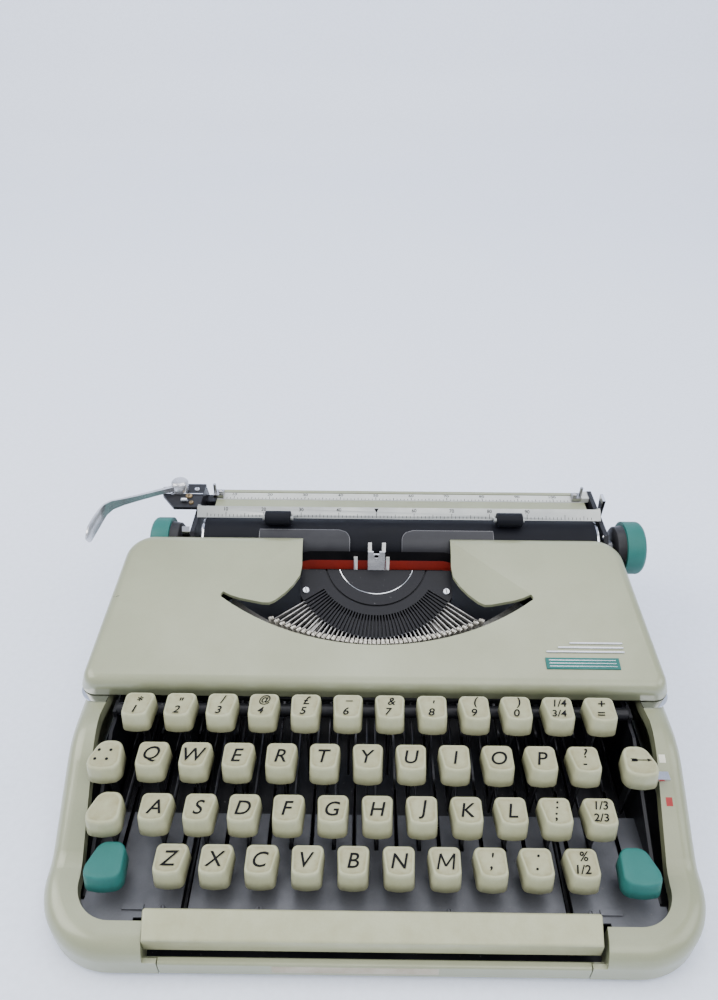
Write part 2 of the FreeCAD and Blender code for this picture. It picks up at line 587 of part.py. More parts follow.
# ---- carriage ----------------------------------------------------------------------
plate_pts = [(61, 54), (61, 68), (66, 74.5), (108, 74.5), (111, 68), (111, CARRIAGE_Z0),
             (70, CARRIAGE_Z0)]
frame_parts = [prism_yz(plate_pts, PLATE_L_X, PLATE_L_X + PLATE_T),
               prism_yz(plate_pts, PLATE_R_X, PLATE_R_X + PLATE_T),
               box(PLATE_L_X, PLATE_R_X + PLATE_T, 92.5, 101, CARRIAGE_Z0, CARRIAGE_Z0 + 4),
               box(PLATE_L_X, PLATE_R_X + PLATE_T, 101, 107.8, 60, 69.3)]
BRACKET_Z = 75.6
bracket = prism_xy([(-124, 104), (-122.5, 96), (-114, 84.5), (PLATE_L_X + PLATE_T, 84.5),
                    (PLATE_L_X + PLATE_T, 107.5), (-110, 107.5)], BRACKET_Z, BRACKET_Z + 1.8)
frame_parts.append(bracket)
frame_parts.append(box(PLATE_L_X, PLATE_L_X + PLATE_T, 86, 106, 74.0, BRACKET_Z + 1.0))
carriage = fuse(frame_parts)
AXLE_R = 4.0
PIN_R = 1.5
BAIL_PIVOT_Y = 98.0
BAIL_PIVOT_Z = 62.0
RELEASE_Y = 90.0
RELEASE_Z = 64.0
for x in (PLATE_L_X, PLATE_R_X):
    carriage = carriage.cut(rod_x(AXLE_R + SHAFT_FIT, x - 1, x + PLATE_T + 1, PLATEN_Y, PLATEN_Z))
    carriage = carriage.cut(rod_x(PIN_R + SHAFT_FIT, x - 1, x + PLATE_T + 1, BAIL_PIVOT_Y, BAIL_PIVOT_Z))
carriage = carriage.cut(rod_x(PIN_R + SHAFT_FIT, PLATE_R_X - 1, PLATE_R_X + PLATE_T + 1, RELEASE_Y, RELEASE_Z))
save("carriage_frame", carriage)

platen = fuse([rod_x(PLATEN_R, PLATEN_X0, PLATEN_X1, PLATEN_Y, PLATEN_Z),
               rod_x(AXLE_R, KNOB_L_X + KNOB_W, KNOB_R_X - KNOB_W, PLATEN_Y, PLATEN_Z)])
save("platen", platen)


def knob(x_out, x_in):
    """Grip with a rounded outer rim, outer face at x_out."""
    x0, x1 = min(x_out, x_in), max(x_out, x_in)
    grip = rod_x(KNOB_R, x0, x1, PLATEN_Y, PLATEN_Z)
    rim_edges = [e for e in grip.Edges if abs(e.CenterOfMass.x - x_out) < 0.01]
    return grip.makeFillet(2.0, rim_edges)


save("platen_knobs", Part.makeCompound([knob(KNOB_L_X, KNOB_L_X + KNOB_W), knob(KNOB_R_X, KNOB_R_X - KNOB_W)]))

PIVOT_X = -113.0
PIVOT_Y = 101.0
ELBOW = (-150.0, 80.0)
BLADE_TIP = (-154.0, 50.5)
lever_arm = prism_xy([(PIVOT_X - 2, PIVOT_Y + 3), (PIVOT_X + 1, PIVOT_Y - 3), (ELBOW[0] + 1.5, ELBOW[1] - 2.0),
                      (ELBOW[0] - 1.2, ELBOW[1] + 2.0)], 78.5, 83.0)
blade = prism_xy([(ELBOW[0] - 1.2, ELBOW[1] + 2.0), (ELBOW[0] + 1.0, ELBOW[1] + 2.0),
                  (BLADE_TIP[0] + 2.0, BLADE_TIP[1]), (BLADE_TIP[0], BLADE_TIP[1])], 76.2, 86.0)
blade = blade.makeFillet(4.0, [e for e in blade.Edges
                               if abs(e.CenterOfMass.y - BLADE_TIP[1]) < 0.01 and abs(e.Length - 2.0) < 0.01])
return_lever = fuse([lever_arm, blade, rod_z(5.0, PIVOT_X, PIVOT_Y, 77.7, 84.5)])
save("return_lever", return_lever)

table = [box(PLATEN_X0 + 3, PLATEN_X1 - 0.3, 88.4, 100.6, DECK_Z - 1.2, DECK_Z),
         box(PLATEN_X0 + 3, PLATEN_X1 - 0.3, 90.2, 91.4, 46.0, DECK_Z - 1.2),
         box(PLATEN_X0 + 3, PLATEN_X1 - 0.3, 108.2, 110.6, 42.0, DECK_Z)]
save("paper_table", Part.makeCompound(table))

save("margin_scale", box(PLATEN_X0 + 3, PLATEN_X1 - 0.3, 101.0, 107.8, 69.4, 71.0))

STOP_X = (-91.5, 122.0)
for name, x, s in (("margin_stop_left", STOP_X[0], 1), ("margin_stop_right", STOP_X[1], -1)):
    stop = [box(x - 3, x + 3, 101.6, 107.4, 71.4, 73.6),
            rod_z(0.9, x - 2.0 * s, 104.5, 73.6, 79.5),
            Part.makeSphere(1.6, V(x + 1.6 * s, 103.6, 74.6))]
    save(name, fuse(stop))

BAIL_X0 = -98.6
BAIL_X1 = 128.2
strip_pts = [(74.6, 77.9), (75.3, 77.2), (79.9, 81.8), (79.2, 82.5)]
arm_pts = [(76.2, 78.4), (80.6, 82.4), (BAIL_PIVOT_Y + 1.8, BAIL_PIVOT_Z + 2.0),
           (BAIL_PIVOT_Y + 2.0, BAIL_PIVOT_Z - 2.2), (BAIL_PIVOT_Y - 1.8, BAIL_PIVOT_Z - 2.2)]
bail = [prism_yz(strip_pts, BAIL_X0, BAIL_X1),
        prism_yz(arm_pts, BAIL_X0, BAIL_X0 + 1.2),
        prism_yz(arm_pts, BAIL_X1 - 1.2, BAIL_X1),
        rod_x(PIN_R, PLATE_L_X + 1.0, BAIL_X0 + 1.2, BAIL_PIVOT_Y, BAIL_PIVOT_Z),
        rod_x(PIN_R, BAIL_X1 - 1.2, PLATE_R_X + PLATE_T - 1.0, BAIL_PIVOT_Y, BAIL_PIVOT_Z)]
ROLL_Y = 71.3
ROLL_Z = 80.5
for x0 in (-61.0, 67.5):
    bail.append(rod_x(1.2, x0, x0 + 17.0, ROLL_Y, ROLL_Z))
    for tab in (x0, x0 + 16.2):
        bail.append(prism_yz([(70.6, 79.4), (76.4, 78.6), (77.0, 79.4), (72.0, 82.0)], tab, tab + 0.8))
save("paper_bail", fuse(bail))

rollers = []
for x0 in (-61.0, 67.5):
    roll = rod_x(4.0, x0 + 1.4, x0 + 15.6, ROLL_Y, ROLL_Z).cut(rod_x(1.28, x0, x0 + 20, ROLL_Y, ROLL_Z))
    rollers.append(roll)
save("bail_rollers", Part.makeCompound(rollers))

release = prism_yz([(87.5, 60.0), (92.5, 60.0), (91.5, 68.0), (93.5, 83.0), (86.5, 83.0), (88.5, 68.0)],
                   131.4, 133.0)
release = release.fuse(rod_x(PIN_R, PLATE_R_X + 0.8, 133.0, RELEASE_Y, RELEASE_Z)).removeSplitter()
save("paper_release_lever", release)


# ---- keys --------------------------------------------------------------------------
def cap(x, y, z, slant_left, slant_right, rear_w=CAP_TOP_REAR_W, length=CAP_TOP_LEN, height=CAP_H):
    """Key cap whose sides draw in towards the front by the two slants."""
    y1 = y + length / 2
    y0 = y - length / 2
    half = rear_w / 2
    top = [(x - half, y1), (x + half, y1), (x + half - slant_right, y0), (x - half + slant_left, y0)]
    g = CAP_SIDE_FLARE
    low = [(x - half - g, y1 + CAP_REAR_FLARE), (x + half + g, y1 + CAP_REAR_FLARE),
           (x + half - CAP_LOW_SLANT * slant_right + g, y0 - CAP_FRONT_FLARE),
           (x - half + CAP_LOW_SLANT * slant_left - g, y0 - CAP_FRONT_FLARE)]
    wires = []
    for pts, level in ((low, z - height), (top, z)):
        corners = [V(px, py, level) for px, py in pts]
        wires.append(Part.makePolygon(corners + [corners[0]]))
    body = Part.makeLoft(wires, True, True)
    upright = [e for e in body.Edges if abs(e.Vertexes[0].Point.z - e.Vertexes[1].Point.z) > 1]
    body = body.makeFillet(3.0, [e for e in upright if e.CenterOfMass.y < y])
    upright = [e for e in body.Edges if abs(e.Vertexes[0].Point.z - e.Vertexes[-1].Point.z) > 1
               and all(abs(abs(v.Point.x - x) - half) < 0.4 and v.Point.y > y for v in e.Vertexes)]
    body = body.makeFillet(2.7, upright)
    rim_edges = [e for e in body.Edges if abs(e.CenterOfMass.z - z) < 0.01
                 and abs(e.Vertexes[0].Point.z - z) < 0.01]
    return body.makeFillet(0.9, rim_edges)


def lever(x, y, z_cap):
    """Flat lever from the pivot shaft to the key, with the upright that carries the cap."""
    x0 = x - LEVER_T / 2
    x1 = x + LEVER_T / 2
    side = [(y - 2.5, LEVER_Z0), (LEVER_BEND_Y, LEVER_Z0), (SHAFT_Y, SHAFT_Z - 2.6),
            (SHAFT_Y, SHAFT_Z + 2.6), (LEVER_BEND_Y, LEVER_Z1), (y - 2.5, LEVER_Z1)]
    blade = fuse([prism_yz(side, x0, x1), rod_x(3.2, x0, x1, SHAFT_Y, SHAFT_Z)])
    blade = blade.cut(rod_x(SHAFT_R + SHAFT_FIT, x - 2, x + 2, SHAFT_Y, SHAFT_Z))
    upright = box(x0, x1, y - 2.5, y + 2.5, LEVER_Z1, z_cap)
    return Part.makeCompound([blade, upright])


figure_keys = []
for row, names in enumerate(ROW_KEYS):
    for i, key in enumerate(names):
        x = ROW_X0[row] + i * KEY_PITCH
        lean = max(-1.0, min(1.0, x / 45.0))
        pair = [cap(x, ROW_Y[row], ROW_Z[row], 1.35 * (1 + lean), 1.35 * (1 - lean)),
                lever(x, ROW_Y[row], ROW_Z[row] - CAP_H)]
        if len(key) == 1 and key.isalpha():
            save("key_" + key, Part.makeCompound(pair))
        else:
            figure_keys += pair
save("figure_keys", Part.makeCompound(figure_keys))


def side_cap(x, y, z, s, grow=0.0):
    """Wider cap at the end of a row; its outer rear corner is cut off. s is +1 on the right."""
    y1 = y + 7.2 + grow
    y0 = y - 7.6 - grow
    pts = [(-6.9 - grow, y0 - y), (7.9 + grow, y0 - y), (8.1 + grow, y0 - y + 5.5), (4.6, y1 - y),
           (-5.6 - grow, y1 - y)]
    wires = []
    for k, level in ((1.07, z - CAP_H), (1.0, z)):
        corners = [V(x + s * px * k, y + py * k - (1.2 if k > 1 else 0), level) for px, py in pts]
        wires.append(Part.makePolygon(corners + [corners[0]]))
    body = Part.makeLoft(wires, True, True)
    upright = [e for e in body.Edges if abs(e.Vertexes[0].Point.z - e.Vertexes[1].Point.z) > 1]
    body = body.makeFillet(3.4, upright)
    rim_edges = [e for e in body.Edges if abs(e.CenterOfMass.z - z) < 0.01
                 and abs(e.Vertexes[0].Point.z - z) < 0.01]
    return body.makeFillet(1.0, rim_edges)


save("margin_release", Part.makeCompound([side_cap(-117.3, ROW_Y[1], ROW_Z[1], -1),
                                          lever(MARGIN_X, ROW_Y[1], ROW_Z[1] - CAP_H)]))
save("backspace", Part.makeCompound([side_cap(117.1, ROW_Y[1], ROW_Z[1], 1),
                                     lever(BACKSPACE_X, ROW_Y[1], ROW_Z[1] - CAP_H)]))
save("shift_lock", Part.makeCompound([side_cap(-114.2, ROW_Y[2], ROW_Z[2], -1),
                                      lever(SHIFT_LOCK_X, ROW_Y[2], ROW_Z[2] - CAP_H)]))
SHIFT_ROD_Z = 25.0         # above the key levers
shift = []
for s in (-1, 1):
    shift.append(side_cap(s * 110.7, ROW_Y[3], ROW_Z[3], s, 0.6))
    shift.append(lever(s * SHIFT_X, ROW_Y[3], ROW_Z[3] - CAP_H))
    shift.append(box(s * SHIFT_X - 0.5, s * SHIFT_X + 0.5, -11, -5, LEVER_Z1, SHIFT_ROD_Z + 2))
shift.append(rod_x(2.0, -SHIFT_X + 0.5, SHIFT_X - 0.5, -8.0, SHIFT_ROD_Z))
save("shift_keys", Part.makeCompound(shift))

# ---- space bar ---------------------------------------------------------------------
BAR_Z0 = 13.7
bar_pts = [(-125.5, BAR_Z0), (-125.5, 22.0), (-113.7, 24.2), (-113.7, BAR_Z0)]
space = prism_yz(bar_pts, -BAR_HALF_W, BAR_HALF_W)
space = space.common(across(BAR_HALF_W, BAR_FRONT_HALF_W, -126, -113.5, 0, 60))
space = space.makeFillet(1.2, [e for e in space.Edges if e.CenterOfMass.z > 17.9])
arms = []
for ax in BAR_ARM_X:
    arm = fuse([box(ax - 0.6, ax + 0.6, -121, BAR_PIVOT_Y, 9.3, 12.0),
                box(ax - 0.6, ax + 0.6, -121, -116.5, 11.0, BAR_Z0),
                rod_x(2.2, ax - 0.6, ax + 0.6, BAR_PIVOT_Y, BAR_PIVOT_Z)])
    arms.append(arm.cut(rod_x(BAR_PIN_R + SHAFT_FIT, ax - 2, ax + 2, BAR_PIVOT_Y, BAR_PIVOT_Z)))
save("space_bar", Part.makeCompound([space] + arms))

# ---- ribbon selector ----------------------------------------------------------------
SEL_X0 = 126.2
SEL_X1 = 127.5
TAB_Y = -62.5
TAB_Z = 40.6
TAB_X1 = 132.0
selector = fuse([prism_yz([(SEL_Y - 2.5, SEL_Z - 2), (SEL_Y + 2.5, SEL_Z - 2), (TAB_Y + 2.0, TAB_Z + 1.4),
                           (TAB_Y - 2.0, TAB_Z + 1.4)], SEL_X0, SEL_X1),
                 box(SEL_X0, TAB_X1, TAB_Y - 2.0, TAB_Y + 2.0, TAB_Z, TAB_Z + 1.4),
                 rod_x(SEL_PIN_R, SIDE_X + 0.3, SEL_X1, SEL_Y, SEL_Z)])
save("ribbon_selector", selector)
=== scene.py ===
import bmesh
import bpy
import json
import math
from mathutils import Matrix, Vector
from mathutils.bvhtree import BVHTree


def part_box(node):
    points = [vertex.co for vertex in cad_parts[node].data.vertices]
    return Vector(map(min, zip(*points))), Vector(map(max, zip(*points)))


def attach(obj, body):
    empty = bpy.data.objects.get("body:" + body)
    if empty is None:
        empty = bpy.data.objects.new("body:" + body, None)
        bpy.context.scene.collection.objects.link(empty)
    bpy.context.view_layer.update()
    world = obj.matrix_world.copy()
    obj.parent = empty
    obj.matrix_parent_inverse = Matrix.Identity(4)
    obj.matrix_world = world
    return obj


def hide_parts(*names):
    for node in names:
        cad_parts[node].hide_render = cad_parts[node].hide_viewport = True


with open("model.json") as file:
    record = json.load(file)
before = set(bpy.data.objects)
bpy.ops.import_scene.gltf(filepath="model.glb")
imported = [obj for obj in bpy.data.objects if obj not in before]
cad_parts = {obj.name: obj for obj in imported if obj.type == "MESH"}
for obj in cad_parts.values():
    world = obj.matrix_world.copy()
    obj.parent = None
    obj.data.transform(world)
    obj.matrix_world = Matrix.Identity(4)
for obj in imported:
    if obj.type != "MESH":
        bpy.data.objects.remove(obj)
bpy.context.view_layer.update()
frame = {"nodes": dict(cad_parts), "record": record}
MM = 0.001

# driving places shared by several pieces, in millimetres
PLATEN_Y, PLATEN_Z = 73.0, 60.0     # axis of the platen
PRINT_X = 2.3                       # middle of the printing point
CHARACTER_PITCH = 2.117             # twelve characters to the inch

# ---------------------------------------------------------------- materials


def new_material(name):
    mat = bpy.data.materials.new(name)
    mat.use_nodes = True
    tree = mat.node_tree
    bsdf = tree.nodes["Principled BSDF"]
    return mat, tree, bsdf


def node(tree, kind, **inputs):
    n = tree.nodes.new(kind)
    for key, value in inputs.items():
        n.inputs[key.replace("_", " ")].default_value = value
    return n


def noise(tree, scale, detail=4.0, rough=0.6, stretch=None):
    """Noise fixed to the piece; scale is in features per metre."""
    coord = tree.nodes.new("ShaderNodeTexCoord")
    n = node(tree, "ShaderNodeTexNoise", Scale=scale, Detail=detail, Roughness=rough)
    if stretch:
        mapping = tree.nodes.new("ShaderNodeMapping")
        mapping.inputs["Scale"].default_value = stretch
        tree.links.new(coord.outputs["Object"], mapping.inputs["Vector"])
        tree.links.new(mapping.outputs["Vector"], n.inputs["Vector"])
    else:
        tree.links.new(coord.outputs["Object"], n.inputs["Vector"])
    return n.outputs["Fac"]


def ramp(tree, source, stops):
    r = tree.nodes.new("ShaderNodeValToRGB")
    r.color_ramp.elements[0].position = stops[0][0]
    r.color_ramp.elements[0].color = grey(stops[0][1])
    r.color_ramp.elements[1].position = stops[-1][0]
    r.color_ramp.elements[1].color = grey(stops[-1][1])
    for pos, col in stops[1:-1]:
        e = r.color_ramp.elements.new(pos)
        e.color = grey(col)
    tree.links.new(source, r.inputs["Fac"])
    return r.outputs["Color"]


def grey(value):
    if isinstance(value, (int, float)):
        return (value, value, value, 1.0)
    return (*value[:3], 1.0)


def mix(tree, factor, a, b, kind="MIX"):
    m = tree.nodes.new("ShaderNodeMix")
    m.data_type = "RGBA"
    m.blend_type = kind
    for socket, value in ((m.inputs["Factor"], factor), (m.inputs[6], a), (m.inputs[7], b)):
        if isinstance(value, bpy.types.NodeSocket):
            tree.links.new(value, socket)
        elif isinstance(value, (int, float)):
            socket.default_value = value if socket.type == "VALUE" else grey(value)
        else:
            socket.default_value = grey(value)
    return m.outputs[2]


def bump(tree, bsdf, height, strength, distance):
    b = node(tree, "ShaderNodeBump", Strength=strength, Distance=distance)
    tree.links.new(height, b.inputs["Height"])
    tree.links.new(b.outputs["Normal"], bsdf.inputs["Normal"])


def surface(name, base, alt, rough, scale=60.0, fine=900.0, bumps=0.15, metallic=0.0, coat=0.0,
            specks=None, speck_cut=0.70, dirt_and_shade=None, stretch=None, depth=0.0002, spec=0.5):
    """Layered finish: broad colour drift, fine grain in colour and roughness, specks, bump."""
    mat, tree, bsdf = new_material(name)
    broad = noise(tree, scale, 5.0, 0.6)
    grain = noise(tree, fine, 3.0, 0.7, stretch)
    colour = mix(tree, ramp(tree, broad, [(0.35, 0.0), (0.68, 1.0)]), base, alt)
    shade = ramp(tree, grain, [(0.3, 0.93), (0.7, 1.0)])
    colour = mix(tree, 1.0, colour, shade, "MULTIPLY")
    if specks:
        spots = noise(tree, fine * 0.45, 2.0, 0.5)
        mask = ramp(tree, spots, [(speck_cut, 0.0), (speck_cut + 0.05, 1.0)])
        colour = mix(tree, mask, colour, specks)
    # a per-vertex amount, broken up by noise, mixes in a brownish colour: painted shade at the foot of the key
    # skirts and in the hollow of the dish, together with real yellowed dirt in the dish
    if dirt_and_shade:
        attr = tree.nodes.new("ShaderNodeAttribute")
        attr.attribute_name = "dirt_and_shade"
        blotches = noise(tree, scale * 2.5, 6.0, 0.7)
        amount = mix(tree, 1.0, attr.outputs["Fac"], ramp(tree, blotches, [(0.3, 0.25), (0.65, 1.0)]), "MULTIPLY")
        colour = mix(tree, amount, colour, dirt_and_shade)
    tree.links.new(colour, bsdf.inputs["Base Color"])
    spread = ramp(tree, broad, [(0.3, max(0.02, rough * 0.82)), (0.75, min(1.0, rough * 1.25))])
    tree.links.new(spread, bsdf.inputs["Roughness"])
    bsdf.inputs["Metallic"].default_value = metallic
    bsdf.inputs["Specular IOR Level"].default_value = spec
    bsdf.inputs["Coat Weight"].default_value = coat
    bsdf.inputs["Coat Roughness"].default_value = 0.12
    bump(tree, bsdf, grain, bumps, depth)
    return mat


SHELL = surface("pearl_enamel", (0.295, 0.31, 0.200), (0.235, 0.245, 0.145), 0.34, scale=11.0, fine=1600.0,
                bumps=0.06, metallic=0.10, coat=0.35, specks=(0.28, 0.27, 0.19), speck_cut=0.74)
# cream key plastic; its brownish second colour is painted shade on the key caps, with some real yellowed dirt
CREAM = surface("cream_plastic", (0.395, 0.40, 0.25), (0.345, 0.345, 0.205), 0.36, scale=90.0, fine=1500.0,
                bumps=0.05, coat=0.15, dirt_and_shade=(0.22, 0.19, 0.085), spec=0.4)
GREEN = surface("green_plastic", (0.022, 0.135, 0.118), (0.019, 0.12, 0.104), 0.45, scale=60.0, fine=1500.0,
                bumps=0.06, spec=0.25)
INK = surface("legend_ink", (0.004, 0.004, 0.005), (0.008, 0.008, 0.009), 0.55, scale=300.0, fine=3000.0,
              bumps=0.05, spec=0.1)
BLACK = surface("black_enamel", (0.007, 0.007, 0.009), (0.012, 0.012, 0.015), 0.42, scale=60.0, fine=900.0,
                bumps=0.12, specks=(0.06, 0.06, 0.06), speck_cut=0.72, spec=0.25)
SATIN = surface("satin_grey_plate", (0.115, 0.118, 0.130), (0.075, 0.077, 0.086), 0.44, scale=35.0, fine=1400.0,
                bumps=0.10, metallic=0.55, specks=(0.12, 0.12, 0.12), speck_cut=0.74)
CHROME = surface("chrome", (0.72, 0.73, 0.76), (0.62, 0.63, 0.66), 0.11, scale=50.0, fine=700.0, bumps=0.02,
                 metallic=1.0)
STEEL = surface("steel", (0.46, 0.46, 0.47), (0.33, 0.33, 0.34), 0.30, scale=120.0, fine=1500.0, bumps=0.08,
                metallic=1.0)
RUBBER = surface("rubber", (0.004, 0.0045, 0.007), (0.007, 0.0075, 0.011), 0.50, scale=40.0, fine=1800.0,
                 bumps=0.08, spec=0.12)
PAPERWHITE = surface("scale_white", (0.55, 0.56, 0.52), (0.48, 0.49, 0.45), 0.45, scale=60.0, fine=1500.0,
                     bumps=0.05)
SEGMENT = surface("segment_black", (0.007, 0.007, 0.009), (0.012, 0.012, 0.015), 0.42, scale=45.0, fine=1300.0,
                  bumps=0.08, metallic=0.0, specks=(0.08, 0.08, 0.08), speck_cut=0.73, spec=0.2)

KNOBBLACK = surface("knob_black", (0.02, 0.02, 0.022), (0.03, 0.03, 0.032), 0.4, scale=60.0, fine=1200.0,
                    spec=0.2)
BARSTEEL = surface("type_bar_steel", (0.50, 0.49, 0.46), (0.22, 0.21, 0.20), 0.30, scale=300.0, fine=2500.0,
                   bumps=0.10, metallic=0.6)
SLUG = surface("type_slug_steel", (0.78, 0.74, 0.64), (0.05, 0.045, 0.04), 0.25, scale=1100.0, fine=3500.0,
               bumps=0.40, metallic=0.55)
BAILSTEEL = surface("bail_steel", (0.42, 0.43, 0.41), (0.36, 0.37, 0.36), 0.38, scale=60.0, fine=1500.0,
                    bumps=0.05, metallic=0.55)
BRASS = surface("aged_brass", (0.42, 0.30, 0.15), (0.22, 0.15, 0.08), 0.35, scale=200.0, fine=1500.0, bumps=0.1,
                metallic=0.9)
RED = surface("ribbon_red", (0.30, 0.022, 0.014), (0.24, 0.017, 0.011), 0.5, scale=80.0, fine=4000.0,
              bumps=0.25)
INKBLACK = surface("ribbon_black", (0.005, 0.005, 0.006), (0.009, 0.008, 0.009), 0.5, scale=80.0, fine=4000.0,
                   bumps=0.25, spec=0.1)
SMOKE = surface("smoked_guide", (0.022, 0.022, 0.026), (0.032, 0.032, 0.036), 0.34, scale=50.0, fine=1300.0,
                bumps=0.05, spec=0.25)
BRIGHT = surface("bright_steel", (0.72, 0.72, 0.74), (0.50, 0.50, 0.53), 0.28, scale=160.0, fine=1500.0,
                 bumps=0.08, metallic=0.35)
# near-white for the upper part of the steel ribbon fork: painted highlight
FORK_HIGHLIGHT = surface("fork_top_highlight", (0.85, 0.84, 0.80), (0.7, 0.69, 0.65), 0.35, scale=300.0, fine=2500.0)
LEVERCHROME = surface("lever_chrome", (0.66, 0.66, 0.67), (0.50, 0.50, 0.52), 0.24, scale=50.0, fine=900.0,
                      bumps=0.04, metallic=0.8)
# lighter grey rod along the edges of the card guides: painted highlight
GUIDE_EDGE_HIGHLIGHT = surface("guide_edge_highlight", (0.16, 0.16, 0.17), (0.10, 0.10, 0.11), 0.3, scale=80.0, fine=1500.0, metallic=0.3)
MARKWHITE = surface("mark_white", (0.72, 0.70, 0.58), (0.62, 0.60, 0.48), 0.5, scale=400.0, fine=3000.0)
MARKRED = surface("mark_red", (0.36, 0.012, 0.012), (0.28, 0.01, 0.01), 0.5, scale=400.0, fine=3000.0)
LABEL = surface("blank_label", (0.36, 0.30, 0.20), (0.48, 0.44, 0.34), 0.45, scale=120.0, fine=900.0, bumps=0.2,
                metallic=0.2)
LEVER = surface("lever_steel", (0.035, 0.035, 0.04), (0.07, 0.07, 0.075), 0.32, scale=120.0, fine=1500.0,
                bumps=0.08, metallic=0.7)

BY_SLOT = {"shell": SHELL, "black_steel": BLACK, "plate_grey": SATIN, "rubber": RUBBER, "chrome": CHROME,
           "steel": STEEL, "key_cream": CREAM, "green": GREEN, "ribbon": RUBBER, "scale": PAPERWHITE}
BY_NODE = {"type_segment": SEGMENT, "type_guide": BRIGHT, "type_rest": BARSTEEL}


def paint(obj, mat):
    """Give the whole object one finish."""
    obj.data.materials.clear()
    obj.data.materials.append(mat)


for part in frame["record"]["subparts"]:
    paint(frame["nodes"][part["node"]], BY_NODE.get(part["node"], BY_SLOT[part["material_slot"]]))


# ---------------------------------------------------------------- mesh helpers


def new_object(name, bm, mats, body, nodes=(), sharp=40.0, recalc=True):
    """Turn the bmesh into a piece that rides on a body and may stand for CAD nodes."""
    if recalc:
        bmesh.ops.recalc_face_normals(bm, faces=bm.faces)
    mesh = bpy.data.meshes.new(name)
    bm.to_mesh(mesh)
    bm.free()
    for mat in mats:
        mesh.materials.append(mat)
    mesh.shade_smooth()
    mesh.set_sharp_from_angle(angle=math.radians(sharp))
    obj = bpy.data.objects.new(name, mesh)
    bpy.context.scene.collection.objects.link(obj)
    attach(obj, body)
    if nodes:
        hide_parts(*nodes)
    return obj


def from_node(name):
    """Welded copy of a CAD node's mesh."""
    bm = bmesh.new()
    bm.from_mesh(frame["nodes"][name].data)
    bmesh.ops.remove_doubles(bm, verts=bm.verts, dist=2e-6)
    return bm


def islands(bm):
    """Lists of vertices that belong together."""
    left = set(bm.verts)
    groups = []
    while left:
        start = left.pop()
        group = [start]
        todo = [start]
        while todo:
            for edge in todo.pop().link_edges:
                for v in edge.verts:
                    if v in left:
                        left.discard(v)
                        group.append(v)
                        todo.append(v)
        groups.append(group)
    return groups


def limits(verts):
    """Lowest and highest corners of some vertices."""
    lo = Vector([min(v.co[k] for v in verts) for k in range(3)])
    hi = Vector([max(v.co[k] for v in verts) for k in range(3)])
    return lo, hi


BOX_FACES = ((0, 1, 3, 2), (4, 6, 7, 5), (0, 4, 5, 1), (2, 3, 7, 6), (0, 2, 6, 4), (1, 5, 7, 3))


def block(bm, corners, mat=0):
    """Six faces round eight corners, given with the third direction running fastest."""
    v = [bm.verts.new(c) for c in corners]
    for f in BOX_FACES:
        bm.faces.new([v[i] for i in f]).material_index = mat


def cuboid(bm, lo, hi, mat=0):
    """Box between two corners in millimetres."""
    block(bm, [Vector((x, y, z)) * MM for x in (lo[0], hi[0]) for y in (lo[1], hi[1]) for z in (lo[2], hi[2])],
          mat)


def lathe(bm, axis_point, profile, segments=64, axis="X", ribs=0, rib_depth=0.0):
    """Turned piece; profile is (distance along the axis, radius, material)."""
    rings = []
    for along, radius, mat in profile:
        ring = []
        for k in range(segments):
            a = 2 * math.pi * k / segments
            r = radius
            if ribs and mat == 0 and k % 2:
                r -= rib_depth
            if axis == "X":
                co = Vector((along, axis_point[1] + r * math.cos(a), axis_point[2] + r * math.sin(a)))
            elif axis == "Y":
                co = Vector((axis_point[0] + r * math.cos(a), along, axis_point[2] + r * math.sin(a)))
            else:
                co = Vector((axis_point[0] + r * math.cos(a), axis_point[1] + r * math.sin(a), along))
            ring.append(bm.verts.new(co))
        rings.append((ring, mat))
    for (a, mat), (b, _) in zip(rings[:-1], rings[1:]):
        for k in range(segments):
            j = (k + 1) % segments
            bm.faces.new((a[k], a[j], b[j], b[k])).material_index = mat
    bm.faces.new(rings[0][0]).material_index = rings[0][1]
    bm.faces.new(rings[-1][0]).material_index = rings[-1][1]


def tube(bm, points, radius, mat=0, sides=8):
    """Round bar along the points."""
    rings = []
    for i, p in enumerate(points):
        ahead = (points[min(i + 1, len(points) - 1)] - points[max(i - 1, 0)]).normalized()
        side = ahead.orthogonal().normalized() if not rings else (last - ahead * last.dot(ahead)).normalized()
        last = side
        up = ahead.cross(side)
        rings.append([bm.verts.new(p + (side * math.cos(a) + up * math.sin(a)) * radius)
                      for a in (2 * math.pi * k / sides for k in range(sides))])
    for a, b in zip(rings[:-1], rings[1:]):
        for k in range(sides):
            j = (k + 1) % sides
            bm.faces.new((a[k], a[j], b[j], b[k])).material_index = mat
    for ring in (rings[0], rings[-1]):
        bm.faces.new(ring).material_index = mat


def disc(bm, centre, radius, normal, height, mat=0, sides=20, slot_mat=None):
    """Low round head; slot_mat adds a screwdriver slot."""
    normal = Vector(normal).normalized()
    side = normal.orthogonal().normalized()
    up = normal.cross(side)
    rings = []
    for r, h in ((radius, 0.0), (radius, height * 0.6), (radius * 0.85, height)):
        rings.append([bm.verts.new(centre + normal * h + (side * math.cos(a) + up * math.sin(a)) * r)
                      for a in (2 * math.pi * k / sides for k in range(sides))])
    for a, b in zip(rings[:-1], rings[1:]):
        for k in range(sides):
            j = (k + 1) % sides
            bm.faces.new((a[k], a[j], b[j], b[k])).material_index = mat
    bm.faces.new(rings[0]).material_index = mat
    bm.faces.new(rings[-1]).material_index = mat
    if slot_mat is not None:
        lift = normal * (height + 0.02 * MM)
        a = (side * 0.6 + up * 0.8) * radius * 0.75
        b = (up * 0.6 - side * 0.8) * radius * 0.13
        quad = [bm.verts.new(centre + lift + p) for p in (-a - b, a - b, a + b, -a + b)]
        bm.faces.new(quad).material_index = slot_mat


TREES = {}


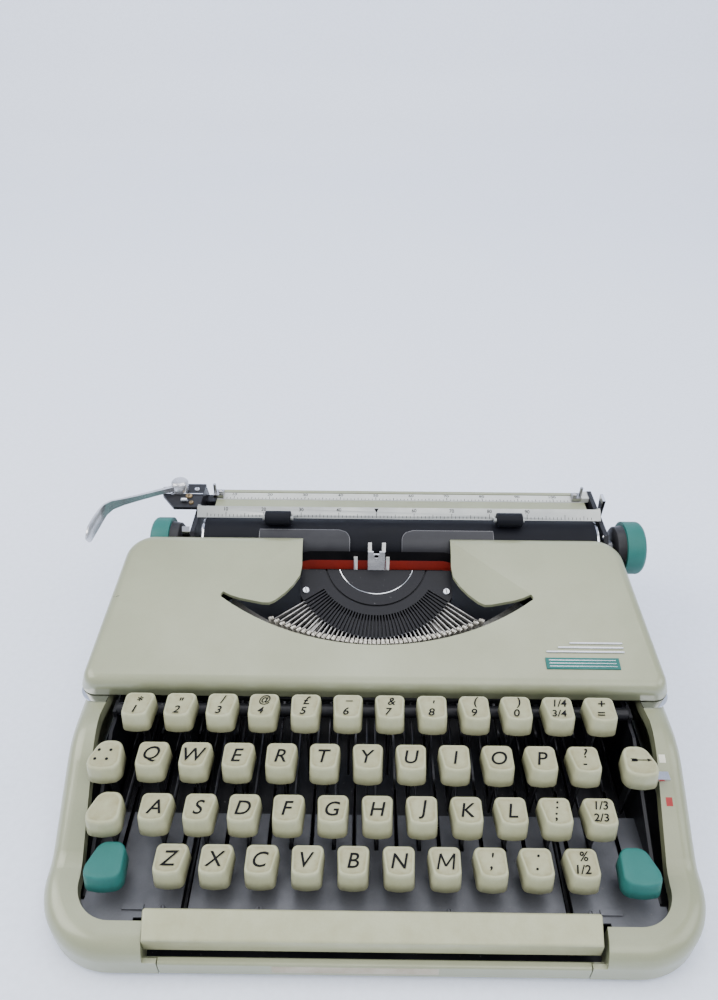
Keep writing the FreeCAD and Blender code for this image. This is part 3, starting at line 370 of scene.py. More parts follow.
def surface_point(name, x, y):
    """Highest point of a CAD node above x, y, with its normal."""
    if name not in TREES:
        bm = bmesh.new()
        bm.from_mesh(frame["nodes"][name].data)
        TREES[name] = BVHTree.FromBMesh(bm)
        bm.free()
    hit, normal, _, _ = TREES[name].ray_cast(Vector((x, y, 0.2)), Vector((0, 0, -1)))
    return hit, normal


# ---------------------------------------------------------------- legends

GLYPHS = {}


def stroked(points, half):
    """Flat strokes along the points."""
    verts = []
    faces = []
    for (xa, ya), (xb, yb) in zip(points[:-1], points[1:]):
        length = math.hypot(xb - xa, yb - ya)
        nx, ny = -(yb - ya) / length * half, (xb - xa) / length * half
        base = len(verts)
        verts += [(xa + nx, ya + ny), (xa - nx, ya - ny), (xb - nx, yb - ny), (xb + nx, yb + ny)]
        faces.append((base, base + 1, base + 2, base + 3))
    return verts, faces


def glyph(text, weight=0.0):
    """Flat outline mesh of a short legend as vertices and faces; weight thickens the strokes."""
    key = (text, weight)
    if text == "M":
        return stroked([(0.0, 0.0), (0.03, 0.72), (0.34, 0.16), (0.65, 0.72), (0.68, 0.0)], 0.038 + weight)
    if key not in GLYPHS:
        curve = bpy.data.curves.new("legend", "FONT")
        curve.body = text
        curve.resolution_u = 4
        curve.size = 1.0
        curve.offset = weight
        obj = bpy.data.objects.new("legend", curve)
        bpy.context.scene.collection.objects.link(obj)
        bpy.context.view_layer.update()
        mesh = bpy.data.meshes.new_from_object(obj.evaluated_get(bpy.context.evaluated_depsgraph_get()))
        verts = [(v.co.x, v.co.y) for v in mesh.vertices]
        faces = [tuple(p.vertices) for p in mesh.polygons]
        bpy.data.objects.remove(obj)
        bpy.data.curves.remove(curve)
        bpy.data.meshes.remove(mesh)
        GLYPHS[key] = (verts, faces)
    return GLYPHS[key]


def write(bm, text, height, place, mat, slant=0.2, wide=1.0):
    """Lay a legend through place(x, y) -> point, centred on 0, 0; height is that of a capital."""
    verts, faces = glyph(text, 0.006 if height > 5 * MM else 0.014 if height > 3 * MM else 0.008)
    if not verts:
        return
    unit = height / CAPITAL
    xs = [v[0] + slant * v[1] for v in verts]
    ys = [v[1] for v in verts]
    cx = (min(xs) + max(xs)) / 2
    cy = (min(ys) + max(ys)) / 2
    made = [bm.verts.new(place((x - cx) * unit * wide, (y - cy) * unit)) for x, y in zip(xs, ys)]
    for face in faces:
        f = bm.faces.new([made[i] for i in face])
        f.material_index = mat


h_verts = glyph("H")[0]
CAPITAL = max(v[1] for v in h_verts) - min(v[1] for v in h_verts)

# ---------------------------------------------------------------- keys

# legend: (text, x, y, height) in mm from the middle of the cap
LETTER = 6.4


def pair(upper, lower, size=3.0):
    """Two legends on one cap, the shifted one above."""
    return [(upper, 0.7, 2.9, size), (lower, -0.7, -2.7, size)]


LEGENDS = {
    1: [pair("*", "1", 4.0), pair("\"", "2", 4.0), pair("/", "3", 4.0), pair("@", "4", 3.6),
        pair("£", "5", 4.0), pair("_", "6", 4.0), pair("&", "7", 3.8), pair("'", "8", 4.0),
        pair("(", "9", 4.0), pair(")", "0", 4.0), pair("1/4", "3/4", 3.6), pair("+", "=", 4.4)],
    2: [pair("?", "-", 4.2)],
    3: [pair(":", ";", 4.6), pair("1/3", "2/3", 3.6)],
    4: [pair("'", ",", 4.8), pair(".", ".", 6.0), pair("%", "1/2", 3.8)],
}


def rounded_outline(corners, radii, bow=0.0, steps=7):
    """Points round a convex outline (counter-clockwise) with rounded corners and a bowed first side."""
    n = len(corners)
    points = []
    for i, p in enumerate(corners):
        before = (corners[i - 1] - p).normalized()
        after = (corners[(i + 1) % n] - p).normalized()
        half = before.angle(after) / 2
        reach = radii[i] / math.tan(half)
        centre = p + (before + after).normalized() * (radii[i] / math.sin(half))
        start = (p + before * reach) - centre
        end = (p + after * reach) - centre
        for k in range(steps + 1):
            direction = start.lerp(end, k / steps).normalized()
            points.append(centre + direction * radii[i])
        if i == 0:
            a = points[-1]
            b = corners[1] + (p - corners[1]).normalized() * (radii[1] / math.tan(
                (p - corners[1]).angle(corners[2] - corners[1]) / 2))
            side = (b - a)
            out = Vector((side.y, -side.x)).normalized()
            for k in range(1, 6):
                points.append(a.lerp(b, k / 6) + out * bow * math.sin(math.pi * k / 6))
    return points


def cap_mesh(bm, dirt_and_shade, centre, top, low, radii, z, height, dish, bow):
    """Key cap: skirt, rounded rim and a dished (or domed, when dish is negative) top."""
    upper = rounded_outline(top, radii, bow)
    lower = rounded_outline(low, radii, bow)
    # third number of each ring is how much brownish colour is mixed in: painted shade at the foot of the skirt
    # and round the hollow of the dish, partly real yellowed dirt in the dish; the rim stays clean
    rows = [(0.0, 0.90, 0.8), (0.05, 1.0, 0.45), (0.5, 1.0, 0.12), (0.84, 1.0, 0.0), (0.93, 0.985, 0.0),
            (0.975, 0.955, 0.0), (0.995, 0.915, 0.0)]
    inner = [(0.885, 0.0, 0.0), (0.845, 0.35, 0.35), (0.79, 0.62, 0.75), (0.66, 0.85, 0.6), (0.45, 0.96, 0.45),
             (0.22, 1.0, 0.4)]
    rings = []
    for t, scale, darkening in rows:
        ring = []
        for p, q in zip(lower, upper):
            flat = centre + (p.lerp(q, t) - centre) * scale
            v = bm.verts.new((flat.x, flat.y, z - height * (1 - t)))
            v[dirt_and_shade] = darkening
            ring.append(v)
        rings.append(ring)
    for scale, sink, darkening in inner:
        ring = []
        for q in upper:
            flat = centre + (q - centre) * scale
            v = bm.verts.new((flat.x, flat.y, z - dish * sink))
            v[dirt_and_shade] = darkening
            ring.append(v)
        rings.append(ring)
    for a, b in zip(rings[:-1], rings[1:]):
        for k in range(len(a)):
            j = (k + 1) % len(a)
            bm.faces.new((a[k], a[j], b[j], b[k]))
    hub = bm.verts.new((centre.x, centre.y, z - dish))
    hub[dirt_and_shade] = 0.4
    last = rings[-1]
    for k in range(len(last)):
        bm.faces.new((last[k], last[(k + 1) % len(last)], hub))
    bm.faces.new(rings[0])


def cap_surface(centre, half_w, half_l, z, dish):
    """Height of the cap's face under a legend."""
    def place(x, y, at=(0.0, 0.0)):
        r = min(1.0, math.hypot((x + at[0]) / half_w, (y + at[1]) / half_l))
        sink = dish * max(0.0, 1.0 - 0.9 * r ** 3)
        return Vector((centre.x + x + at[0], centre.y + y + at[1], z - sink + 0.10 * MM))
    return place


def side_cap(node, lo, hi):
    """Five-cornered cap at the ends of the rows: outlines, corner radii, height and dish."""
    shift = node == "shift_keys"
    grow = 0.6 * MM if shift else 0.0
    s = 1 if lo.x + hi.x > 0 else -1
    y = (lo.y + hi.y) / 2 + (0.6 if shift else 0.8) * MM
    inset = SIDE_CAP_HALF * SIDE_CAP_SKIRT * MM
    cx = (hi.x - inset - grow) if s > 0 else (lo.x + inset + grow)
    flat = [(-6.9 * MM - grow, -7.6 * MM - grow), (7.9 * MM + grow, -7.6 * MM - grow),
            (SIDE_CAP_HALF * MM + grow, -2.1 * MM - grow), (4.6 * MM, 7.2 * MM + grow),
            (-5.6 * MM - grow, 7.2 * MM + grow)]
    top = [Vector((cx + s * px, y + py)) for px, py in flat]
    low = [Vector((cx + s * px * 1.06, y + py * 1.06 - 1.1 * MM)) for px, py in flat]
    radii = [4.2 * MM, 3.6 * MM, 3.4 * MM, 5.0 * MM, 4.4 * MM]
    if s < 0:
        top, low, radii = ([row[i] for i in (1, 0, 4, 3, 2)] for row in (top, low, radii))
    centre = Vector((sum(p.x for p in top) / 5, sum(p.y for p in top) / 5))
    dish = -0.25 * MM if shift else 0.35 * MM
    z = hi.z - (0.25 * MM if shift else 0.0)
    return centre, top, low, radii, z, 8.8 * MM, dish, 0.5 * MM


def type_cap(lo, hi):
    """Four-cornered cap of a type key; its front corners draw in towards the middle of the keyboard."""
    x = (lo.x + hi.x) / 2
    y = lo.y + CAP_SKIRT_FRONT * MM
    lean = max(-1.0, min(1.0, x / (45 * MM)))
    left = 1.35 * (1 + lean) * MM
    right = 1.35 * (1 - lean) * MM
    half = 7.0 * MM
    front, back, skirt_back = 6.45 * MM, 6.45 * MM, 6.65 * MM
    top = [Vector((x - half + left, y - front)), Vector((x + half - right, y - front)),
           Vector((x + half, y + back)), Vector((x - half, y + back))]
    low = [Vector((x - half + 0.4 * left, y - CAP_SKIRT_FRONT * MM)),
           Vector((x + half - 0.4 * right, y - CAP_SKIRT_FRONT * MM)),
           Vector((x + half, y + skirt_back)), Vector((x - half, y + skirt_back))]
    centre = Vector((x + (left - right) / 4, y))
    return centre, top, low, [2.7 * MM, 2.7 * MM, 2.4 * MM, 2.4 * MM], hi.z, 9.0 * MM, 0.55 * MM, 0.45 * MM


SIDE_KEYS = ("margin_release", "backspace", "shift_lock", "shift_keys")
SIDE_CAP_HALF = 8.1         # from the middle of a side cap to its outer edge
SIDE_CAP_SKIRT = 1.07       # how much the skirt is wider than that
CAP_SKIRT_FRONT = 8.75      # from the middle of a type cap to the front of its skirt
ROW_TOPS = (60.0, 50.0, 40.2, 31.4)


def key_piece(name, node, body, legends_of, green=False):
    """Rebuild the caps of a key node and keep its levers."""
    source = from_node(node)
    caps = []
    for group in islands(source):
        lo, hi = limits(group)
        if 8 * MM < hi.x - lo.x < 30 * MM:
            caps.append((lo, hi))
            bmesh.ops.delete(source, geom=group, context="VERTS")
    for face in source.faces:
        face.material_index = 2
    # per-vertex amount of painted shade and real dirt, read by the cream material
    dirt_and_shade = source.verts.layers.float.new("dirt_and_shade")
    caps.sort(key=lambda c: (round(-c[1].z, 3), c[0].x))
    used = {}
    for lo, hi in caps:
        row = min(range(4), key=lambda r: abs(ROW_TOPS[r] * MM - hi.z)) + 1
        if node in SIDE_KEYS:
            centre, top, low, radii, z, height, dish, bow = side_cap(node, lo, hi)
            place = cap_surface(centre, 6 * MM, 6 * MM, hi.z, dish)
        else:
            centre, top, low, radii, z, height, dish, bow = type_cap(lo, hi)
            place = cap_surface(centre, 5.4 * MM, 5.4 * MM, hi.z, 0.5 * MM)
        cap_mesh(source, dirt_and_shade, centre, top, low, radii, z, height, dish, bow)
        index = used.get(row, 0)
        used[row] = index + 1
        for text, dx, dy, size in legends_of(row, index):
            at = (dx * MM, dy * MM)
            write(source, text, size * MM, lambda u, v: place(u, v, at), 1)
        if node in MARKS:
            MARKS[node](source, centre, hi.z)
    return new_object(name, source, [GREEN if green else CREAM, INK, LEVER], body, (node,),
                      sharp=50.0)


def four_dots(bm, centre, z):
    for dx, dy in ((-2.6, 2.7), (2.6, 2.7), (-3.3, -1.9), (1.9, -1.9)):
        flat_dot(bm, centre.x + dx * MM, centre.y + dy * MM, z - 0.2 * MM, 0.72 * MM)


def flat_dot(bm, x, y, z, r):
    ring = [bm.verts.new((x + r * math.cos(a), y + r * math.sin(a), z))
            for a in (2 * math.pi * k / 16 for k in range(16))]
    bm.faces.new(ring).material_index = 1


def arrow(bm, centre, z):
    """Arrow with a feathered tail, pointing right."""
    level = z - 0.15 * MM
    shapes = [[(-4.4, -0.22), (3.0, -0.22), (3.0, 0.22), (-4.4, 0.22)],
              [(2.6, -0.75), (4.8, 0.0), (2.6, 0.75)],
              [(-4.9, -0.8), (-2.2, -0.75), (-1.4, 0.0), (-2.2, 0.75), (-4.9, 0.8), (-4.0, 0.0)]]
    for shape in shapes:
        verts = [bm.verts.new((centre.x + px * MM, centre.y + 0.6 * MM + py * MM, level)) for px, py in shape]
        bm.faces.new(verts).material_index = 1


MARKS = {"margin_release": four_dots, "backspace": arrow}


def build_keys():
    for code in range(ord("a"), ord("z") + 1):
        letter = chr(code)
        key_piece("key_cap_" + letter, "key_" + letter, "key_body_" + letter,
                  lambda row, index, t=letter.upper(): [(t, 0.1, 0.0, LETTER)])
    key_piece("figure_caps", "figure_keys", "figures", lambda row, index: LEGENDS[row][index])
    key_piece("margin_release_cap", "margin_release", "margin_key", lambda row, index: [])
    key_piece("backspace_cap", "backspace", "back_key", lambda row, index: [])
    key_piece("shift_lock_cap", "shift_lock", "lock", lambda row, index: [])
    key_piece("shift_caps", "shift_keys", "shift", lambda row, index: [], green=True)


# ---------------------------------------------------------------- type basket and ribbon


def painted_copy(name, node, body, mats, choose):
    """Copy of a CAD node whose faces get their material from choose(centre)."""
    bm = from_node(node)
    for face in bm.faces:
        face.material_index = choose(face.calc_center_median(), face.normal)
    return new_object(name, bm, mats, body, (node,), sharp=35.0, recalc=False)


def build_bar_arms():
    """Space bar with darker arms under the keyboard plate."""
    painted_copy("space_bar_shell", "space_bar", "bar", [CREAM, LEVER],
                 lambda c, n: 0 if c.y < -113.0 * MM and c.z > 13.5 * MM else 1)


def build_basket():
    seg_lo, seg_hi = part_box("type_segment")
    print_point = Vector(((seg_lo.x + seg_hi.x) / 2, 57.0 * MM, 63.0 * MM))
    tilt = math.radians(20.0)
    bars, half_fan = 44, 56.3
    rest_radius, rest_centre = 126.0, 126.0 - 51.5

    def plane(r, phi, n):
        """Point in the tilted plane of the bars: radius, angle and height over the plane."""
        v = r * math.cos(phi)
        return Vector((print_point.x + r * math.sin(phi),
                       print_point.y - v * math.cos(tilt) - n * math.sin(tilt),
                       print_point.z - v * math.sin(tilt) + n * math.cos(tilt)))

    def plane_side(phi):
        """Direction along a bar's thickness."""
        return Vector((math.cos(phi), math.sin(phi) * math.cos(tilt), math.sin(phi) * math.sin(tilt)))

    bm = bmesh.new()
    for k in range(bars):
        phi = math.radians(half_fan * (2 * k / (bars - 1) - 1))
        reach = math.sqrt(rest_radius ** 2 - (rest_centre * math.sin(phi)) ** 2) - rest_centre * math.cos(phi)
        wobble = 0.25 * math.sin(k * 2.3)
        # the two stations nearest the hub lie in the slots of the segment and take the black enamel: painted
        # shade, as the bars are steel there too
        stations = [(36.5, 0.25, -1.2, -3.4, 0), (45.8, 0.25, -1.2, -3.4, 0), (46.6, 0.25, -0.6, -3.4, 1),
                    (reach - 3.3, 0.22, -0.6 + wobble, -3.4, 1)]
        rings = []
        for r, w, top, low, mat in stations:
            rings.append(([bm.verts.new(plane(r * MM, phi, n * MM) + plane_side(phi) * s * w * MM)
                           for s, n in ((-1, low), (1, low), (1, top), (-1, top))], mat))
        for (a, _), (b, mat) in zip(rings[:-1], rings[1:]):
            for j in range(4):
                bm.faces.new((a[j], a[(j + 1) % 4], b[(j + 1) % 4], b[j])).material_index = mat
        # the head: two raised characters on a small block
        for r0, r1, top in ((reach - 3.2, reach - 1.9, 1.7), (reach - 1.8, reach - 0.4, 2.6)):
            for part in (0, 1):
                upper = top + wobble + 0.7 * part
                w = 0.86 - 0.28 * part
                block(bm, [plane(r * MM, phi, n * MM) + plane_side(phi) * s * w * MM
                           for r in (r0, r1) for s in (-1, 1) for n in (-3.4, upper)], 2)
    new_object("type_bar_fan", bm, [BLACK, BARSTEEL, SLUG], "basket", ("type_bars",))
    # screws of the segment and the bright wire round it
    up = plane(0, 0, 1) - plane(0, 0, 0)
    bm = bmesh.new()
    for phi in (-63.0, 63.0):
        disc(bm, plane(42.6 * MM, math.radians(phi), 0), 1.9 * MM, up, 0.7 * MM, 0, 20, 1)
    arc = [plane(20.9 * MM, math.radians(a), -0.35 * MM) for a in range(-72, 73, 6)]
    tube(bm, arc, 0.42 * MM, 0, 8)
    new_object("segment_trim", bm, [CHROME, BLACK], "basket", ())


def build_ribbon():
    """Two-colour ribbon from spool to spool, red below black, and the fork that carries it."""
    path = [(-104, 31.9, 45.9), (-86, 36, 45.9), (-64, 46.5, 50.8), (-42, 53.5, 56.6), (-34, 54, 58.5),
            (39, 54, 58.5), (47, 53.5, 56.6), (69, 46.5, 50.8), (88, 36, 45.9), (104, 31.9, 45.9)]
    lo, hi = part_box("ribbon")
    points = []
    for p, q in zip(path[:-1], path[1:]):
        for k in range(8):
            points.append(Vector(p).lerp(Vector(q), k / 8) * MM)
    points.append(Vector(path[-1]) * MM)
    bm = bmesh.new()
    width = 12.7
    rows = [(0.0, 0), (3.2, 0), (6.6, 0), (6.6, 1), (9.6, 1), (width, 1)]
    for side in (-0.13, 0.13):
        grid = []
        for i, p in enumerate(points):
            ripple = 0.05 * math.sin(i * 1.7)
            x = min(max(p.x, lo.x), hi.x)
            grid.append([bm.verts.new((x, p.y + (side + ripple * (h / width)) * MM, p.z + h * MM))
                         for h, _ in rows])
        for a, b in zip(grid[:-1], grid[1:]):
            for k in range(len(rows) - 1):
                # beyond 58 mm either side of the middle, where the ribbon runs under the cover, the red half
                # also takes the black material: painted shade
                dark = rows[k][1] or abs(a[0].co.x) > 58 * MM
                bm.faces.new((a[k], b[k], b[k + 1], a[k + 1])).material_index = 1 if dark else 0
    new_object("ribbon_strip", bm, [RED, INKBLACK], "frame", ("ribbon",))
    # the fork's upper part, above 58 mm, is given near-white: painted highlight on the steel fork
    painted_copy("ribbon_fork", "ribbon_vibrator", "ribbon_carrier", [FORK_HIGHLIGHT, BRIGHT],
                 lambda c, n: 0 if c.z > 58.0 * MM else 1)


def build_card_guides():
    """Thin smoked sheets bent round the platen, with a lighter rod along the edge as painted highlight, and one
    rounded upper corner.
    """
    steps, bend, corner = 16, 69.5, 6.0
    inner_r, outer_r, rim_r = 16.42, 16.95, 16.75
    for name, x0, x1, inner in (("guide_left", -62.5, -12.5, 1), ("guide_right", 16.5, 67.0, -1)):
        bm = bmesh.new()
        rim = []
        grid = []
        for k in range(steps + 1):
            a = math.radians(180.0 - bend * k / steps)
            arc = 16.7 * math.radians(bend) * (1 - k / steps)
            cut = corner - math.sqrt(corner ** 2 - (corner - arc) ** 2) if arc < corner else 0.0
            left = x0 + (cut if inner < 0 else 0.0)
            right = x1 - (cut if inner > 0 else 0.0)
            grid.append([bm.verts.new(Vector((x, PLATEN_Y + r * math.cos(a), PLATEN_Z + r * math.sin(a))) * MM)
                         for r in (inner_r, outer_r) for x in (left, right)])
            rim.append((left, right, PLATEN_Y + rim_r * math.cos(a), PLATEN_Z + rim_r * math.sin(a)))
        for a, b in zip(grid[:-1], grid[1:]):
            for i, j in ((0, 1), (1, 3), (3, 2), (2, 0)):
                bm.faces.new((a[i], a[j], b[j], b[i]))
        for end in (grid[0], grid[-1]):
            bm.faces.new([end[i] for i in (0, 1, 3, 2)])
        path = [Vector((left, y, z)) * MM for left, _, y, z in rim]
        path += [Vector((right, y, z)) * MM for _, right, y, z in rim[::-1]]
        # lighter rod along the sheet's edges: painted highlight
        tube(bm, path, 0.26 * MM, 1, 6)
        cuboid(bm, (x0 + 8, 56.0, 41.9), (x0 + 14, 56.6, 60.0), 0)
        new_object(name, bm, [SMOKE, GUIDE_EDGE_HIGHLIGHT], "frame", ("card_guides",))


# ---------------------------------------------------------------- carriage


def build_platen():
    """Rubber roller with bright end rings, and a ribbed knob with a dark collar on each end of its axle."""
    lo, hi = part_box("platen")
    axis = (0, PLATEN_Y * MM, PLATEN_Z * MM)
    x0, x1 = -95.3, 126.3
    r, axle, step = 16.0, 3.9, 0.01
    profile = [(lo.x / MM, axle, 1), (x0 - step, axle, 1), (x0, 12.0, 1), (x0, r * 0.96, 1),
               (x0 + 0.4, r * 0.985, 1), (x0 + 1.3, r * 0.985, 1), (x0 + 1.5, r * 0.995, 0), (x0 + 2.4, r, 0),
               (x1 - 2.4, r, 0), (x1 - 1.5, r * 0.995, 1), (x1 - 1.3, r * 0.985, 1), (x1 - 0.4, r * 0.985, 1),
               (x1, r * 0.96, 1), (x1, 12.0, 1), (x1 + step, axle, 1), (hi.x / MM, axle, 1)]
    bm = bmesh.new()
    lathe(bm, axis, [(along * MM, radius * MM, mat) for along, radius, mat in profile], 96)
    new_object("platen_roller", bm, [RUBBER, CHROME], "roller", ("platen",))
    lo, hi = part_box("platen_knobs")
    r = (hi.z - lo.z) / 2
    length = 16.5
    bm = bmesh.new()
    for s, outer, black in ((-1, lo.x, 5.7), (1, hi.x, 5.4)):
        steps = [(0.0, 0.55, 0), (0.0, 0.80, 0), (0.5, 0.90, 0), (1.6, 0.975, 0), (2.6, 1.0, 0),
                 (length - black, 1.0, 0), (length - black, 0.86, 1), (length + 0.5 - black, 0.84, 1),
                 (length - 1.0, 0.80, 1), (length, 0.72, 1)]
        lathe(bm, axis, [(outer - s * d * MM, r * k, m) for d, k, m in steps], 120, "X", 60, 0.18 * MM)
        lathe(bm, axis, [(outer, 4.2 * MM, 2), (outer - s * 0.4 * MM, 4.4 * MM, 2)], 24)
    new_object("knob_pair", bm, [GREEN, KNOBBLACK, CHROME], "roller", ("platen_knobs",))


def scale_x(k):
    """Place of graduation k along the carriage; 50 is the printing point."""
    return (PRINT_X + (k - 50) * CHARACTER_PITCH) * MM


def patch(bm, place, x0, x1, y0, y1, mat=0):
    """Flat printed rectangle laid through place(x, y)."""
    quad = [bm.verts.new(place(x, y)) for x, y in ((x0, y0), (x1, y0), (x1, y1), (x0, y1))]
    bm.faces.new(quad).material_index = mat


def build_bail():
    """Scale bar with its graduations and pointer, and the two rollers on it."""
    lo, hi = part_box("paper_bail")
    painted_copy("bail_bar", "paper_bail", "bail", [BAILSTEEL], lambda c, n: 0)
    bm = bmesh.new()
    foot = Vector((0, 74.6, 77.9)) * MM
    along = Vector((0, 1, 1)).normalized()
    out = Vector((0, -1, 1)).normalized() * 0.08 * MM

    def at(x, v):
        return foot + Vector((x, 0, 0)) + along * v + out

    for k in range(2, 108):
        x = scale_x(k)
        if lo.x + 6 * MM < x < hi.x - 6 * MM:
            length = 3.3 if k % 10 == 0 else 2.6 if k % 5 == 0 else 1.9
            patch(bm, at, x - 0.14 * MM, x + 0.14 * MM, 0.5 * MM, length * MM)
            if k % 10 == 0 and k % 50:
                write(bm, str(k), 1.9 * MM, lambda u, v, x=x: at(x + u, 4.9 * MM + v), 0, 0.0)
    tip = [bm.verts.new(at((PRINT_X + px) * MM, v * MM)) for px, v in ((-1.2, 5.8), (1.2, 5.8), (0, 3.4))]
    bm.faces.new(tip)
    new_object("bail_scale", bm, [INK], "bail", (), recalc=False)
    lo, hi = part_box("bail_rollers")
    bm = bmesh.new()
    y = (lo.y + hi.y) / 2
    z = (lo.z + hi.z) / 2
    r = (hi.z - lo.z) / 2
    length = 14.2
    steps = [(0.0, 0.35), (0.0, 0.90), (0.3, 1.0), (length - 0.3, 1.0), (length, 0.90), (length, 0.35)]
    for x0 in (lo.x, hi.x - length * MM):
        lathe(bm, (0, y, z), [(x0 + d * MM, r * k, 0) for d, k in steps], 48)
    new_object("bail_roller_pair", bm, [RUBBER], "bail", ("bail_rollers",))


def build_scales():
    """Graduations and figures on the scale behind the platen."""
    lo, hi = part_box("margin_scale")
    bm = bmesh.new()
    level = hi.z + 0.06 * MM

    def at(x, y):
        return Vector((x, lo.y + y, level))

    for k in range(0, 112):
        x = scale_x(k)
        if lo.x + 4 * MM < x < hi.x - 4 * MM:
            length = 3.3 if k % 10 == 0 else 2.7 if k % 5 == 0 else 2.0
            patch(bm, at, x - 0.16 * MM, x + 0.16 * MM, 0.8 * MM, length * MM)
            if k % 10 == 0:
                write(bm, str(k), 2.2 * MM, lambda u, v, x=x: at(x + u, 5.2 * MM + v), 0, 0.0)
    patch(bm, at, lo.x + 3 * MM, hi.x - 3 * MM, 0.3 * MM, 0.5 * MM)
    new_object("margin_scale_marks", bm, [INK], "carriage", (), recalc=False)


def build_return_lever():
    """Thin blade on edge that curls forward into a cupped finger pad, with its pivot boss."""
    # stations from the pivot to the tip: x, y, lower edge, upper edge, half thickness
    stations = [(-112.0, 100.2, 79.4, 82.4, 1.3), (-119.0, 96.6, 79.4, 82.4, 1.1),
                (-127.0, 92.4, 79.4, 82.5, 0.9), (-135.0, 88.1, 79.3, 82.8, 0.8),
                (-142.0, 84.2, 79.1, 83.4, 0.7), (-147.5, 80.6, 78.5, 84.4, 0.6),
                (-150.4, 76.2, 77.7, 85.2, 0.55), (-151.5, 71.0, 77.0, 85.7, 0.5),
                (-152.2, 66.0, 76.6, 85.9, 0.5), (-152.8, 61.0, 76.4, 85.9, 0.5),
                (-153.1, 56.5, 76.4, 85.8, 0.5), (-153.1, 53.5, 76.9, 85.3, 0.5),
                (-153.1, 51.6, 77.9, 84.3, 0.45), (-153.1, 50.7, 79.4, 82.8, 0.4)]
    levels = 7
    bm = bmesh.new()
    rings = []
    for i, (x, y, low, high, half) in enumerate(stations):
        before = Vector(stations[max(i - 1, 0)][:2])
        after = Vector(stations[min(i + 1, len(stations) - 1)][:2])
        d = (after - before).normalized()
        out = Vector((-d.y, d.x))
        cup = 0.9 * min(1.0, max(0.0, (i - 5) / 3))
        ring = []
        for side in (1, -1):
            for k in range(levels)[::side]:
                t = k / (levels - 1)
                bend = cup * (4 * t * (1 - t) - 0.5)
                p = Vector((x, y)) + out * (side * half - bend)
                ring.append(bm.verts.new(Vector((p.x, p.y, low + (high - low) * t)) * MM))
        rings.append(ring)
    for a, b in zip(rings[:-1], rings[1:]):
        for k in range(len(a)):
            j = (k + 1) % len(a)
            bm.faces.new((a[k], a[j], b[j], b[k]))
    bm.faces.new(rings[0])
    bm.faces.new(rings[-1])
    boss = [(77.8, 4.9), (83.2, 4.9), (84.0, 4.2), (84.4, 2.6)]
    lathe(bm, (-113 * MM, 101 * MM, 0), [(z * MM, radius * MM, 0) for z, radius in boss], 32, "Z")
    new_object("return_lever_blade", bm, [LEVERCHROME], "line_lever", ("return_lever",), sharp=50)


def build_carriage_detail():
    """Small fittings at the two ends of the carriage."""
    bm = bmesh.new()
    # bright tab, screws and springs at the left end
    tab_profile = ((66.0, 68.0), (66.2, 71.0), (67.0, 74.0), (68.4, 76.2))
    tab = [Vector((-103.0, y, z)) * MM for y, z in tab_profile]
    grid = [[bm.verts.new(p + Vector((dx * MM, 0, 0))) for dx in (-3.1, -1.5, 1.2)] for p in tab]
    for a, b in zip(grid[:-1], grid[1:]):
        for k in range(2):
            bm.faces.new((a[k], a[k + 1], b[k + 1], b[k])).material_index = 0
    bracket_top = 77.4
    for x, y, r, m in ((-107.0, 95.0, 2.0, 1), (-103.4, 101.5, 1.6, 0), (-117.0, 97.5, 1.4, 0),
                       (-104.5, 88.5, 1.3, 1)):
        disc(bm, Vector((x, y, bracket_top)) * MM, r * MM, (0, 0, 1), 0.9 * MM, m, 20, 2)
    hook = ((-100.4, 84.6, 76.6), (-96.5, 84.0, 76.0), (-95.2, 84.4, 73.4))
    tube(bm, [Vector(p) * MM for p in hook], 0.6 * MM, 1)
    turns, per_turn, spring_pitch = 8, 8, 0.45
    coil = []
    for k in range(turns * per_turn):
        a = 2 * math.pi * k / per_turn
        coil.append(Vector((-110.5 + spring_pitch * k / per_turn, 90.0 + 1.1 * math.cos(a),
                            78.6 + 1.0 * math.sin(a))) * MM)
    tube(bm, coil, 0.22 * MM, 0, 6)
    cuboid(bm, (-123.6, 96.6, 77.4), (-99.2, 97.3, 78.0), 0)
    # end block at the right
    cuboid(bm, (124.2, 101.2, 71.0), (130.6, 108.4, 74.0), 3)
    disc(bm, Vector((129.4, 66.2, 73.0)) * MM, 1.5 * MM, (0, -1, 0.4), 0.6 * MM, 0, 18, 2)
    new_object("carriage_fittings", bm, [CHROME, BRASS, BLACK, PAPERWHITE], "carriage", ())


# ---------------------------------------------------------------- case and cover details


def cover_z(y):
    """Height of the cover's sloping face over y, in metres; y is in millimetres."""
    front_y, front_z = -20.0, 59.0
    back_y, back_z = 63.0, 75.8
    return (front_z + (back_z - front_z) / (back_y - front_y) * (y - front_y)) * MM


